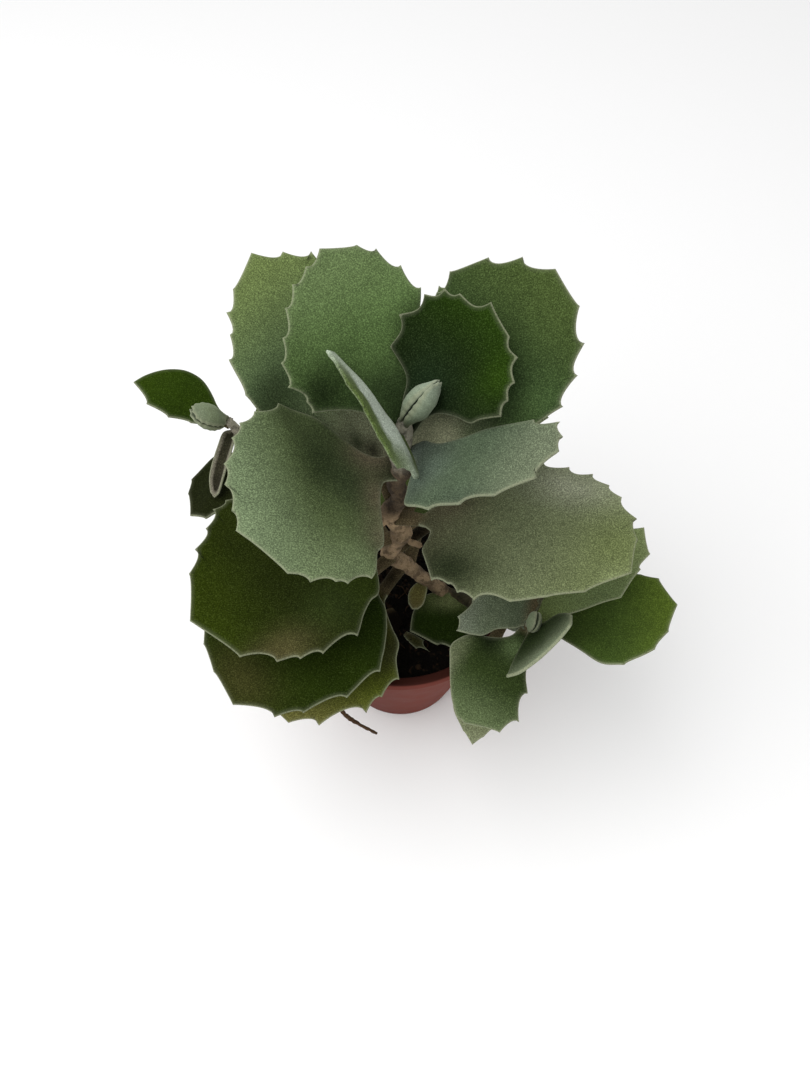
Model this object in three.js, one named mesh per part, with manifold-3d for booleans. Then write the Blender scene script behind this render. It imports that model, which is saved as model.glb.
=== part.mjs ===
// Potted kalanchoe: a felt-leaved shrubby succulent with toothed leaves, in a round plastic pot.
// Millimetres, +Z up. The origin is the middle of the pot's flat underside, the front is -Y.
import * as THREE from 'three';
import { mergeVertices } from 'three/addons/utils/BufferGeometryUtils.js';
import Module from 'manifold-3d';

const wasm = await Module();
wasm.setup();

// ---------------------------------------------------------------- driving dimensions

const CLEARANCE = 0.3;            // gap left between pieces that touch

const POT = {
  height: 74, rimRadius: 43, footRadius: 25.5, wall: 1.5, base: 2,
  lipHeight: 5, lipWidth: 1.6, chamfer: 0.6, sides: 44,
};
const DRAIN = { count: 6, radius: 3.2, ring: 16, sides: 10 };

const SOIL = { top: 67, relief: 0.8, rings: 4, crumbs: 30, crumbSize: 0.9, crumbSpread: 1.3, border: 4 };

// Trunk and side shoots: [x, y, z, radius] along each axis. Thick stations are the leaf nodes.
const TRUNK = [
  [22, 1, 43, 3.3], [21, 0, 57, 3.2], [18, -2, 68, 2.9], [11, -3, 79, 2.6], [4, -3, 90, 2.8],
  [-1, -2, 100, 3.7], [-1.5, -1, 110, 3.3], [-1.5, 0, 119, 3.9], [-1, 0.5, 129, 2.2],
  [0, 1, 140, 2.9], [0.3, 2, 148, 2.4], [1, 3, 155, 2.1], [2, 3.5, 163.5, 1.2],
];
const LEFT_SHOOT = [
  [-1, -2, 99, 2.2], [-18, 8, 101, 2.2], [-40, 25, 106, 2], [-55, 36, 113, 2], [-62, 39, 123, 1.4],
];
const RIGHT_SHOOT = [
  [18, -2, 68, 2.6], [27, -9, 73, 2.5], [37, -19, 80, 2.4], [43, -26, 87, 2.3], [45.5, -28.5, 97.5, 1.2],
];
const STEM = { sides: 10, steps: 3 };            // steps: rings of points per span of the stations

const LEAF = {
  midThickness: 1.8, ringThickness: 1.7, edgeThickness: 1,
  middle: 0.52, ring: 0.62,               // the blade's middle, and its inner ring, as shares
  stalkRadius: 1.6, stalkFoot: 2, stalkRun: 7, stalkSides: 6, stalkSteps: 2,
  neck: 2.4,                              // half the blade's width where the stalk meets it
  dip: 0.17, longDip: 0.03,               // how deep the margin dips between two teeth, as a share
  shortEdge: 6.5, longEdge: 11,           // gaps between two teeth that get a single dip
};

// Every leaf, from the crown down. A leaf lies on a curved sheet that starts on the stem at `at`,
// leaves it towards `heading` (degrees from +X) at the angle `rise`, and is turned about its
// midrib by `roll`. `bend` curls it along the midrib and `cup` across it (1/mm, + is upwards).
// `stalk` is the length before the blade begins, `thin` a share of the usual stalk thickness.
// Its outline is given on that sheet as [along, across] in mm, + across is left of the heading:
// the smooth right flank from the stalk, the tooth tips round the end, and the left flank back.
const DEFAULT_SHEET = { roll: 0, bend: -0.004, cup: 0.006 };
const LEAVES = [
  { name: 'leaf_crown_right', at: [1, 3, 154], heading: 35, rise: 54, roll: 11, cup: 0.01, stalk: 7,
    right: [[11, -5], [15, -7], [18, -10], [18.5, -13.5], [19, -17], [22, -18]],
    teeth: [[26, -23], [31, -22], [37, -19], [42, -16], [45, -10], [49, 2], [45, 10], [44, 15], [39, 19],
      [30, 22], [21, 19]],
    left: [[17, 9], [11, 4]] },
  { name: 'leaf_crown_spear', at: [1, 3, 154.5], heading: 239, rise: 62, roll: -27, bend: 0, cup: 0.004,
    stalk: 7,
    right: [[12, -7], [19, -17]],
    teeth: [[25, -22], [31, -23], [37, -20], [42, -15], [45, -8], [48, 2], [45, 10], [41, 16], [35, 20],
      [29, 22], [22, 19]],
    left: [[17, 14], [11, 6]] },
  { name: 'leaf_back_left', at: [-0.6, 3.9, 147.5], heading: 124, rise: 59, bend: -0.0045, stalk: 10,
    right: [[14, -3], [19, -5], [25, -9], [32, -14], [37, -21]],
    teeth: [[43, -25], [51, -22], [58, -17], [61, -12], [64, -1], [61, 5], [58, 11], [53, 16], [46, 21],
      [40, 24], [33, 25], [27, 21.5], [23.5, 21.5]],
    left: [[21, 15], [18, 8], [14, 3.5]] },
  { name: 'leaf_right_upper', at: [0.3, 2, 149], heading: -32, rise: 37, roll: 6, stalk: 8,
    right: [[12, -10], [16, -18], [21, -22]],
    teeth: [[28, -23], [36, -19], [45, -15], [54, -7], [56, 3], [55, 8], [52, 13], [44, 13]],
    left: [[31, 10], [24, 8], [14, 5]] },
  { name: 'leaf_left_broad', at: [0, 1, 140], heading: 214, rise: 24, roll: -20, stalk: 7,
    right: [[9, -7], [13.5, -10.5], [17, -16.5], [22, -24], [26, -26]],
    teeth: [[32, -30], [40, -29], [45, -27], [49, -23], [54, -16], [56, -10], [57, -2], [58, 4], [49, 21],
      [44, 26], [39, 28], [35, 30], [28, 30]],
    left: [[24, 28], [19, 23], [15, 17], [11, 8]] },
  { name: 'leaf_back_right', at: [0, 1, 139], heading: 34, rise: 52, roll: 14, stalk: 11,
    right: [[15, -4], [20, -7], [29, -14], [40, -24]],
    teeth: [[50, -29], [59, -26], [67, -21], [74, -13], [78, 0], [75, 10], [69, 18], [59, 25], [52, 24]],
    left: [[40, 18], [28, 9], [19, 5]] },
  { name: 'leaf_back_left_outer', at: [-1, 1, 121], heading: 130, rise: 56, roll: 4, stalk: 17,
    right: [[22, -9], [32, -12], [42, -17], [55, -22]],
    teeth: [[65, -24], [76, -21], [85, -16], [89, -8], [93, 1], [86, 13], [81, 19], [75, 22], [69, 27],
      [58, 29]],
    left: [[51, 26], [42, 19], [34, 9], [27, 4]] },
  { name: 'leaf_right_broad', at: [-1, -1, 119], heading: -23, rise: 22, roll: 3, stalk: 11,
    right: [[14, -8], [18, -16], [23, -23]],
    teeth: [[30, -26], [39, -27], [49, -24], [59, -19], [69, -14], [80, -3], [79, 9], [77, 16], [71, 22],
      [66, 25], [60, 28], [52, 29], [44, 28]],
    left: [[33, 25], [23, 19], [16, 11]] },
  { name: 'leaf_left_lower', at: [-2, -1, 107], heading: 211, rise: 14, roll: -8, stalk: 11,
    right: [[15, -7], [23, -20], [33, -30]],
    teeth: [[42, -34], [48, -34], [53, -33], [58, -27], [64, -22], [69, -15], [75, 0], [66, 19], [57, 26],
      [50, 28], [43, 30], [31, 30]],
    left: [[26, 26], [20, 19], [14, 9]] },
  { name: 'leaf_back_right_lower', at: [-1, 0, 110], heading: 41, rise: 57, roll: 12, stalk: 34,
    right: [[42, -8], [53, -20]],
    teeth: [[62, -25], [71, -24], [78, -21], [86, -15], [95, -2], [94, 12], [86, 24], [77, 29], [67, 30]],
    left: [[56, 25], [44, 11]] },
  { name: 'leaf_left_bottom', at: [-1, -2, 98], heading: 224, rise: 5, roll: -10, stalk: 13,
    right: [[18, -9], [27, -20], [36, -27]],
    teeth: [[46, -31], [55, -31], [63, -29], [73, -17], [75, -10], [78, 5], [73, 14], [68, 19], [62, 23],
      [56, 27], [49, 29], [36, 30]],
    left: [[31, 27], [24, 20], [17, 9]] },
  { name: 'leaf_left_lowest', at: [1, -3, 91], heading: 236, rise: -5, stalk: 13,
    right: [[17, -9], [25, -18], [36, -22]],
    teeth: [[47, -23], [58, -19], [68, -14], [70, -2], [64, 8], [57, 14], [52, 20], [45, 22], [36, 23],
      [27, 17]],
    left: [[22, 13], [17, 7]] },

  { name: 'leaf_right_shoot_back', at: [44.5, -27.5, 91], heading: 32, rise: 30, roll: -26,
    stalk: 5, thin: 0.7,
    right: [[10, -5], [22, -13]],
    teeth: [[31, -17], [42, -11], [48, -7], [53, 5], [48, 11], [41, 14], [33, 15]],
    left: [[24, 14], [14, 10], [8, 5]] },
  { name: 'leaf_right_shoot_front', at: [44.5, -27.5, 91], heading: 238, rise: -3, roll: -8,
    stalk: 4, thin: 0.7,
    right: [[8, -6], [13, -13]],
    teeth: [[20, -19], [29, -14], [35, -10], [41, -2], [45, 5], [37, 11], [31, 14], [21, 12]],
    left: [[16, 8], [9, 4]] },
  { name: 'leaf_right_shoot_far', at: [43, -26, 86], heading: -2, rise: 24, roll: -14, stalk: 6, thin: 0.8,
    right: [[11, -4], [16, -9], [22, -15], [28, -20]],
    teeth: [[35, -22], [45, -16], [50, -8], [54, 4], [49, 16], [43, 18], [34, 20]],
    left: [[26, 19], [18, 15], [11, 8]] },
  { name: 'leaf_right_shoot_inner', at: [45, -28, 94], heading: 168, rise: 11, roll: -6, stalk: 3, thin: 0.6,
    right: [[5, -7], [9, -9]],
    teeth: [[15, -7], [22, -1], [25, 5], [24, 10]],
    left: [[17, 10], [11, 8], [6, 4]] },
  { name: 'leaf_right_shoot_under', at: [40, -22.5, 83.5], heading: 237, rise: -20, roll: 10, stalk: 8,
    right: [[14, -5], [26, -5]],
    teeth: [[40, 1], [44, 9], [39, 13], [30, 15]],
    left: [[20, 13], [13, 7]] },
  { name: 'leaf_right_shoot_boat', at: [45, -28, 94], heading: -70, rise: 34, roll: 33, cup: 0.02,
    stalk: 4, thin: 0.6,
    right: [[6, -7], [10, -14]],
    teeth: [[15, -18], [19, -13], [21, -1], [20, 7], [15, 13]],
    left: [[10, 12], [6, 7]] },

  { name: 'leaf_left_shoot_side', at: [-61, 40, 119], heading: 166, rise: 25, stalk: 4,
    right: [[8, -6], [14.5, -10], [21.5, -13], [30, -9]],
    teeth: [[37, 2], [29, 7], [20, 9.5], [13, 7.5]],
    left: [[8, 5]] },
  { name: 'leaf_left_shoot_boat', at: [-60, 39, 118], heading: 256, rise: -12, roll: 30, cup: 0.2,
    stalk: 3, thin: 0.6,
    right: [[7, -4], [13, -5], [20, -5]],
    teeth: [[26, -3], [29, 0], [26, 3]],
    left: [[20, 5], [13, 5], [7, 4]] },
  { name: 'leaf_left_shoot_under', at: [-50, 32, 110], heading: 205, rise: -8, roll: 10, stalk: 5,
    right: [[9, -9], [17, -12.5]],
    teeth: [[28, -7], [31, -1], [33, 10], [28, 16]],
    left: [[16, 14], [9, 8]] },
  { name: 'leaf_left_shoot_back', at: [-57, 37, 115], heading: 30, rise: 30, stalk: 4,
    right: [[9, -6], [14, -9]],
    teeth: [[20, -9], [25, -6], [28, 0], [25, 6], [20, 9]],
    left: [[14, 9], [9, 6]] },

  { name: 'leaf_rear_right', at: [-1, -1, 99], heading: 28, rise: 26, stalk: 16,
    right: [[22, -10], [29, -18]],
    teeth: [[36, -23], [44, -22], [51, -18], [58, -10], [62, 0], [58, 10], [51, 18], [44, 22], [36, 23]],
    left: [[29, 18], [22, 10]] },
  { name: 'leaf_rear_middle', at: [3, -3, 90], heading: 74, rise: 20, stalk: 18,
    right: [[24, -9], [30, -17]],
    teeth: [[37, -22], [45, -21], [52, -16], [58, -8], [60, 1], [57, 10], [51, 17], [44, 21], [37, 21]],
    left: [[30, 17], [24, 9]] },
  { name: 'leaf_rear_left', at: [1, -3, 93], heading: 122, rise: 10, stalk: 18,
    right: [[24, -9], [30, -16]],
    teeth: [[37, -20], [45, -19], [52, -14], [57, -6], [58, 3], [54, 12], [47, 18], [38, 19]],
    left: [[31, 16], [24, 9]] },

  { name: 'leaf_soil_front', at: [16, -3, 71], heading: -88, rise: 9, roll: -2, cup: 0.02, stalk: 4,
    right: [[7, -8], [12, -12]],
    teeth: [[19, -13], [24, -3], [26, 3], [24, 9], [17, 14]],
    left: [[11, 12], [6, 7]] },
  { name: 'leaf_soil_round', at: [10, -2.5, 79.5], heading: 250, rise: 4, cup: 0.05, stalk: 3,
    right: [[6, -3], [9, -4]],
    teeth: [[12, -3], [14, 0], [12, 3]],
    left: [[9, 4], [6, 3]] },
];

// Pairs of young leaves that still face each other. `facing` is half the angle between the two,
// and `apart` half the gap between their feet.
const BUD_LEAF = { bend: 0.01, cup: 0.05, stalk: 2, thin: 0.5 };
const BUDS = [
  { names: ['bud_crown_front', 'bud_crown_back'], at: [2, 2.6, 163.2], heading: 17, rise: 55, roll: 90,
    facing: 6, apart: 1.5, length: 17, width: 10 },
  { names: ['bud_left_shoot_lower', 'bud_left_shoot_upper'], at: [-62, 39, 122.7], heading: 205, rise: 38,
    roll: 0, facing: 6, apart: 1.5, length: 15, width: 11 },
  { names: ['bud_right_shoot_front', 'bud_right_shoot_back'], at: [45.5, -28.5, 97], heading: -30, rise: 72,
    roll: 20, facing: 8, apart: 1.1, length: 6, width: 5 },
];

// Half outlines of the small leaves, as shares of their length and of half their width.
const BUD_SHAPE = { flank: [[0.3, 0.7], [0.5, 1]], teeth: [[0.75, 0.8], [0.93, 0.4]] };
const LOOSE_SHAPE = { flank: [[0.25, 0.8]], teeth: [[0.6, 1]] };

// Dry pieces: a fallen leaf and a withered leaf on the soil, a dead stalk hanging over the rim.
const LOOSE_LEAF = { roll: 0, bend: -0.004, cup: 0.06, stalk: 0, thin: 0.4 };
const FALLEN_LEAF = { at: [2, -19.5, 68.3], heading: -40, rise: 3, length: 12.4, width: 4.8 };
const WITHERED_LEAF = { at: [-4.1, -9.4, 68.9], heading: -72, rise: 4, length: 13.3, width: 6.7 };
const DEAD_STALK = [
  [-24, -20, 62, 0.9], [-25, -27, 72, 0.9], [-25.5, -35, 77.5, 0.85], [-25, -41, 75.5, 0.8],
  [-23.5, -45, 67, 0.8], [-21, -46.5, 57, 0.8], [-17.5, -46.5, 48, 0.75], [-9, -48.5, 40, 0.5],
];

// ---------------------------------------------------------------- helpers

const WELD = 1e-5;                // points closer than this are one point
const radians = THREE.MathUtils.degToRad;
const vector = (point) => new THREE.Vector3(...point);

// A repeatable random number from 0 to 1.
function seededRandom(seed) {
  let state = seed;
  return () => {
    state = (state * 1664525 + 1013904223) % 4294967296;
    return state / 4294967296;
  };
}

// A closed geometry with merged vertices, as a solid that can be joined and cut.
function solidOf(geometry) {
  const plain = geometry.clone();
  plain.deleteAttribute('normal');
  plain.deleteAttribute('uv');
  const merged = mergeVertices(plain, WELD);
  return new wasm.Manifold(new wasm.Mesh({
    numProp: 3,
    vertProperties: new Float32Array(merged.attributes.position.array),
    triVerts: new Uint32Array(merged.index.array),
  }));
}

// The main body of a cut solid, without the loose scraps.
function largestBody(solid) {
  return solid.decompose().reduce((main, body) => (body.volume() > main.volume() ? body : main));
}

function geometryOf(solid) {
  const mesh = solid.getMesh();
  const geometry = new THREE.BufferGeometry();
  geometry.setAttribute('position', new THREE.BufferAttribute(mesh.vertProperties, 3));
  geometry.setIndex(new THREE.BufferAttribute(mesh.triVerts, 1));
  geometry.computeVertexNormals();
  return geometry;
}

function geometryFrom(points, triangles) {
  const geometry = new THREE.BufferGeometry();
  const numbers = points.flatMap((point) => point.toArray());
  geometry.setAttribute('position', new THREE.Float32BufferAttribute(numbers, 3));
  geometry.setIndex(triangles);
  return geometry;
}

// A round rod of changing thickness along [x, y, z, radius] stations, closed at both ends.
function rodGeometry(stations, sides, stepsPerSpan, extra = 0) {
  const spans = stations.length - 1;
  const steps = spans * stepsPerSpan;
  const path = new THREE.CatmullRomCurve3(stations.map(([x, y, z]) => new THREE.Vector3(x, y, z)));
  const frames = path.computeFrenetFrames(steps, false);
  const points = [];
  for (let i = 0; i <= steps; i += 1) {
    const share = (i / steps) * spans;
    const low = Math.min(Math.floor(share), spans - 1);
    const radius = THREE.MathUtils.lerp(stations[low][3], stations[low + 1][3], share - low) + extra;
    const centre = path.getPoint(i / steps);
    for (let k = 0; k < sides; k += 1) {
      const angle = (2 * Math.PI * k) / sides;
      points.push(centre.clone()
        .addScaledVector(frames.normals[i], radius * Math.cos(angle))
        .addScaledVector(frames.binormals[i], radius * Math.sin(angle)));
    }
  }
  const triangles = [];
  for (let i = 0; i < steps; i += 1) {
    for (let k = 0; k < sides; k += 1) {
      const a = i * sides + k;
      const b = i * sides + ((k + 1) % sides);
      triangles.push(a, b, b + sides, a, b + sides, a + sides);
    }
  }
  for (let k = 1; k < sides - 1; k += 1) {
    const last = steps * sides;
    triangles.push(0, k + 1, k, last, last + k, last + k + 1);
  }
  return geometryFrom(points, triangles);
}

// ---------------------------------------------------------------- pot and soil

function potSolid() {
  const { height, rimRadius, footRadius, wall, base, lipHeight, lipWidth, chamfer, sides } = POT;
  const lipFoot = height - lipHeight;
  const underLip = rimRadius - lipWidth;
  const mouth = underLip - wall;
  const profile = [
    [0, 0], [footRadius - chamfer, 0], [footRadius, chamfer],
    [underLip, lipFoot], [rimRadius, lipFoot + chamfer],
    [rimRadius, height - chamfer], [rimRadius - chamfer, height],
    [mouth + chamfer, height], [mouth, height - chamfer],
    [footRadius - wall, base], [0, base],
  ].map(([r, z]) => new THREE.Vector2(r, z));
  let pot = solidOf(uprightLathe(profile, sides));
  for (let i = 0; i < DRAIN.count; i += 1) {
    const angle = (2 * Math.PI * i) / DRAIN.count;
    const hole = new THREE.CylinderGeometry(DRAIN.radius, DRAIN.radius, 4 * base, DRAIN.sides);
    hole.rotateX(Math.PI / 2);
    hole.translate(DRAIN.ring * Math.cos(angle), DRAIN.ring * Math.sin(angle), base / 2);
    pot = pot.subtract(solidOf(hole));
  }
  return pot;
}

// A lathe about Z, where LatheGeometry turns about Y.
function uprightLathe(profile, sides) {
  return new THREE.LatheGeometry(profile, sides).rotateX(Math.PI / 2);
}

// Radius of the pot's inner wall at height z.
function innerRadius(z) {
  const { height, rimRadius, footRadius, wall, base, lipWidth, chamfer } = POT;
  const share = (z - base) / (height - chamfer - base);
  return THREE.MathUtils.lerp(footRadius - wall, rimRadius - lipWidth - wall, share);
}

// The soil fills the pot to a lumpy top. Crumbs of bark and grit are sunk into it.
function soilSolid(stem, stalk) {
  const { sides } = POT;
  const floor = POT.base + CLEARANCE;
  const brink = SOIL.top - SOIL.relief;
  const edge = innerRadius(brink) - CLEARANCE;
  const footRadius = innerRadius(floor) - CLEARANCE;
  const circle = (radius, heightAt) => Array.from({ length: sides }, (_, k) => {
    const angle = (2 * Math.PI * k) / sides;
    const x = radius * Math.cos(angle);
    const y = radius * Math.sin(angle);
    return new THREE.Vector3(x, y, heightAt(x, y));
  });
  const points = [new THREE.Vector3(0, 0, soilHeight(0, 0))];
  for (let ring = 1; ring < SOIL.rings; ring += 1) {
    points.push(...circle((edge * ring) / SOIL.rings, soilHeight));
  }
  points.push(...circle(edge, () => brink));
  points.push(...circle(footRadius, () => floor));
  points.push(new THREE.Vector3(0, 0, floor));
  const triangles = [];
  for (let k = 0; k < sides; k += 1) {
    const next = (k + 1) % sides;
    triangles.push(0, 1 + k, 1 + next);
    for (let ring = 0; ring < SOIL.rings; ring += 1) {
      const a = 1 + ring * sides;
      triangles.push(a + k, a + sides + k, a + sides + next, a + k, a + sides + next, a + next);
    }
    const foot = 1 + SOIL.rings * sides;
    triangles.push(foot + next, foot + k, points.length - 1);
  }
  const bed = solidOf(geometryFrom(points, triangles));
  const lumpy = soilCrumbs(edge - SOIL.border).reduce((soil, crumb) => soil.add(crumb), bed);
  return largestBody(lumpy.subtract(stem).subtract(stalk));
}

function soilCrumbs(reach) {
  const random = seededRandom(7);
  return Array.from({ length: SOIL.crumbs }, () => {
    const angle = 2 * Math.PI * random();
    const radius = reach * Math.sqrt(random());
    const x = radius * Math.cos(angle);
    const y = radius * Math.sin(angle);
    const crumb = new THREE.TetrahedronGeometry(SOIL.crumbSize + SOIL.crumbSpread * random());
    crumb.scale(1, 0.7 + 0.5 * random(), 0.8);
    crumb.rotateZ(2 * Math.PI * random());
    crumb.translate(x, y, soilHeight(x, y));
    return solidOf(crumb);
  });
}

// Height of the soil's surface: two crossing sets of low waves.
function soilHeight(x, y) {
  const waves = Math.sin(0.31 * x + 1.3) * Math.cos(0.27 * y) + 0.6 * Math.sin(0.53 * y + 0.21 * x);
  return SOIL.top + SOIL.relief * waves;
}

// ---------------------------------------------------------------- stem

function stemSolid(extra) {
  const rods = [TRUNK, LEFT_SHOOT, RIGHT_SHOOT];
  return rods.map((rod) => solidOf(rodGeometry(rod, STEM.sides, STEM.steps, extra)))
    .reduce((stem, rod) => stem.add(rod));
}

function deadStalkSolid(extra) {
  return solidOf(rodGeometry(DEAD_STALK, LEAF.stalkSides, STEM.steps, extra));
}

// ---------------------------------------------------------------- leaves

// The leaf's directions where it leaves the stem: along the midrib, to its left, and up.
function sheetDirections({ heading, rise, roll, directions }) {
  if (directions) return directions;
  const a = radians(heading);
  const e = radians(rise);
  const along = new THREE.Vector3(Math.cos(a) * Math.cos(e), Math.sin(a) * Math.cos(e), Math.sin(e));
  const left = new THREE.Vector3(-Math.sin(a), Math.cos(a), 0);
  left.applyAxisAngle(along, radians(roll));
  const up = along.clone().cross(left);
  return { along, left, up };
}

// A point of the leaf's curved sheet, lifted off it by `lift`.
function onSheet(leaf, u, v, lift = 0) {
  const { along, left, up } = sheetDirections(leaf);
  const turn = leaf.bend * u;
  const forward = turn === 0 ? u : Math.sin(turn) / leaf.bend;
  const climb = turn === 0 ? 0 : (1 - Math.cos(turn)) / leaf.bend;
  const localUp = up.clone().multiplyScalar(Math.cos(turn)).addScaledVector(along, -Math.sin(turn));
  const swing = leaf.cup * v;
  const aside = swing === 0 ? v : Math.sin(swing) / leaf.cup;
  const raise = swing === 0 ? 0 : (1 - Math.cos(swing)) / leaf.cup;
  const normal = localUp.clone().multiplyScalar(Math.cos(swing)).addScaledVector(left, -Math.sin(swing));
  return vector(leaf.at)
    .addScaledVector(along, forward)
    .addScaledVector(up, climb)
    .addScaledVector(left, aside)
    .addScaledVector(localUp, raise)
    .addScaledVector(normal, lift);
}

// The outline with a shallow arc between each two teeth.
function leafOutline(leaf, centre) {
  const outline = [[leaf.stalk, -LEAF.neck], ...leaf.right];
  leaf.teeth.forEach((tooth, i) => {
    outline.push(tooth);
    const next = leaf.teeth[i + 1];
    if (!next) return;
    const span = Math.hypot(next[0] - tooth[0], next[1] - tooth[1]);
    const isLong = span > LEAF.longEdge;
    const depth = span * (isLong ? LEAF.longDip : LEAF.dip);
    const shares = isLong || span < LEAF.shortEdge ? [0.5] : [0.3, 0.7];
    shares.forEach((share) => {
      const u = THREE.MathUtils.lerp(tooth[0], next[0], share);
      const v = THREE.MathUtils.lerp(tooth[1], next[1], share);
      const reach = Math.hypot(u - centre[0], v - centre[1]);
      outline.push([u - (depth * (u - centre[0])) / reach, v - (depth * (v - centre[1])) / reach]);
    });
  });
  return [...outline, ...leaf.left, [leaf.stalk, LEAF.neck]];
}

// The blade: outline, inner ring and middle on both faces, split into triangles alike.
function bladeGeometry(leaf) {
  const longest = Math.max(...leaf.teeth.map(([u]) => u));
  const centre = [THREE.MathUtils.lerp(leaf.stalk, longest, LEAF.middle), 0];
  const outline = leafOutline(leaf, centre);
  const inner = outline.map(([u, v]) => [
    THREE.MathUtils.lerp(centre[0], u, LEAF.ring),
    THREE.MathUtils.lerp(centre[1], v, LEAF.ring),
  ]);
  const count = outline.length;
  const points = [];
  [1, -1].forEach((side) => {
    outline.forEach(([u, v]) => points.push(onSheet(leaf, u, v, (side * LEAF.edgeThickness) / 2)));
    inner.forEach(([u, v]) => points.push(onSheet(leaf, u, v, (side * LEAF.ringThickness) / 2)));
    points.push(onSheet(leaf, centre[0], centre[1], (side * LEAF.midThickness) / 2));
  });
  const back = 2 * count + 1;
  const triangles = [];
  for (let k = 0; k < count; k += 1) {
    const next = (k + 1) % count;
    const face = [
      [k, next, count + next], [k, count + next, count + k], [count + k, count + next, 2 * count],
    ];
    face.forEach(([a, b, c]) => triangles.push(a, b, c, back + a, back + c, back + b));
    triangles.push(k, back + next, next, k, back + k, back + next);
  }
  return geometryFrom(points, triangles);
}

function stalkGeometry(leaf, length, thickness) {
  const stations = [0, 0.5, 1].map((share) => {
    const radius = thickness * THREE.MathUtils.lerp(LEAF.stalkFoot, LEAF.stalkRadius, share);
    return [...onSheet(leaf, share * length, 0).toArray(), radius];
  });
  return rodGeometry(stations, LEAF.stalkSides, LEAF.stalkSteps);
}

// Blade and stalk in one, coped to the stem that carries them.
function leafSolid(leaf, fatStem) {
  const thickness = leaf.thin ?? 1;
  const blade = solidOf(bladeGeometry(leaf));
  const stalk = solidOf(stalkGeometry(leaf, leaf.stalk + LEAF.stalkRun * thickness, thickness));
  return largestBody(blade.add(stalk).subtract(fatStem));
}

// One leaf of a facing pair. The second is turned over to face the first.
function budLeaf(bud, turnedOver) {
  const { along, left, up } = sheetDirections(bud);
  const side = turnedOver ? 1 : -1;
  const lean = radians(bud.facing) * side;
  const aim = along.clone().multiplyScalar(Math.cos(lean)).addScaledVector(up, Math.sin(lean));
  const across = left.clone().multiplyScalar(-side);
  return {
    ...BUD_LEAF,
    at: vector(bud.at).addScaledVector(up, side * bud.apart).toArray(),
    directions: { along: aim, left: across, up: aim.clone().cross(across) },
    ...plainOutline(BUD_SHAPE, bud.length, bud.width),
  };
}

// The outline of a small leaf from its half outline.
function plainOutline({ flank, teeth }, length, width) {
  const onSide = (side) => ([along, across]) => [along * length, (side * across * width) / 2];
  return {
    right: flank.map(onSide(-1)),
    teeth: [...teeth.map(onSide(-1)), [length, 0], ...teeth.map(onSide(1)).reverse()],
    left: flank.map(onSide(1)).reverse(),
  };
}

// A loose leaf lying on the soil.
function looseLeaf(leaf) {
  return { ...LOOSE_LEAF, ...leaf, ...plainOutline(LOOSE_SHAPE, leaf.length, leaf.width) };
}

// ---------------------------------------------------------------- assembly

const FINISHES = {
  pot: { color: 0x9a5a50, roughness: 0.45, metalness: 0 },
  soil: { color: 0x17110e, roughness: 1, metalness: 0 },
  stem: { color: 0x6f5a4c, roughness: 0.9, metalness: 0 },
  leaf: { color: 0x4a6638, roughness: 0.9, metalness: 0 },
  young_leaf: { color: 0x86998a, roughness: 0.9, metalness: 0 },
  dry: { color: 0x4a3528, roughness: 0.95, metalness: 0 },
};

const plant = new THREE.Group();

function place(name, solid, finish) {
  const mesh = new THREE.Mesh(geometryOf(solid), new THREE.MeshStandardMaterial(FINISHES[finish]));
  mesh.name = name;
  plant.add(mesh);
}

const stem = stemSolid(0);
const fatStem = stemSolid(CLEARANCE);

place('pot', potSolid(), 'pot');
place('soil', soilSolid(fatStem, deadStalkSolid(CLEARANCE)), 'soil');
place('stem', stem, 'stem');

LEAVES.forEach((leaf) => place(leaf.name, leafSolid({ ...DEFAULT_SHEET, ...leaf }, fatStem), 'leaf'));

BUDS.forEach((bud) => {
  bud.names.forEach((name, i) => place(name, leafSolid(budLeaf(bud, i === 1), fatStem), 'young_leaf'));
});

place('fallen_leaf', solidOf(bladeGeometry(looseLeaf(FALLEN_LEAF))), 'leaf');
place('withered_leaf', solidOf(bladeGeometry(looseLeaf(WITHERED_LEAF))), 'dry');
place('dead_stalk', deadStalkSolid(0), 'dry');

export default plant;
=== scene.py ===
"""A potted kalanchoe: a small terracotta-coloured nursery pot, dark compost, a felted woody stem with two
side shoots, and broad felt leaves with toothed edges. Laid out as an add-on, and run as a script on the
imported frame. Meshes are worked out in millimetres and handed to Blender in metres."""

import math
import random

import bmesh
import bpy
import numpy as np
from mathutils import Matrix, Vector, noise


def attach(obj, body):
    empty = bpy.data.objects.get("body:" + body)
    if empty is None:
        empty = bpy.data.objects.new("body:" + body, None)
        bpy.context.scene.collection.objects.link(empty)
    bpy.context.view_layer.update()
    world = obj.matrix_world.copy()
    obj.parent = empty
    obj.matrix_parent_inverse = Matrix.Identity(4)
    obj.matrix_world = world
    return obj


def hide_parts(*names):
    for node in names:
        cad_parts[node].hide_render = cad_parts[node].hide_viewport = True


bl_info = {
    "name": "Potted Kalanchoe",
    "version": (1, 0, 0),
    "blender": (4, 5, 0),
    "location": "View3D > Sidebar > Kalanchoe",
    "description": "Builds a potted kalanchoe with felt leaves, piece by piece",
    "category": "Add Mesh",
}

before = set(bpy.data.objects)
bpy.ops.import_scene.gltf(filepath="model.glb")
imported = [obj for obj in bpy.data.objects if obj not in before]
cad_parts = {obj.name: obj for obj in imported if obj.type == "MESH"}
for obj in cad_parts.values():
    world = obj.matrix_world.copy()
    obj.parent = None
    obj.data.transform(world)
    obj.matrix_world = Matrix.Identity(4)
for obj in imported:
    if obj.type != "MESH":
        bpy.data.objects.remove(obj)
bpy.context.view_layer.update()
MM = 0.001

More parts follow.
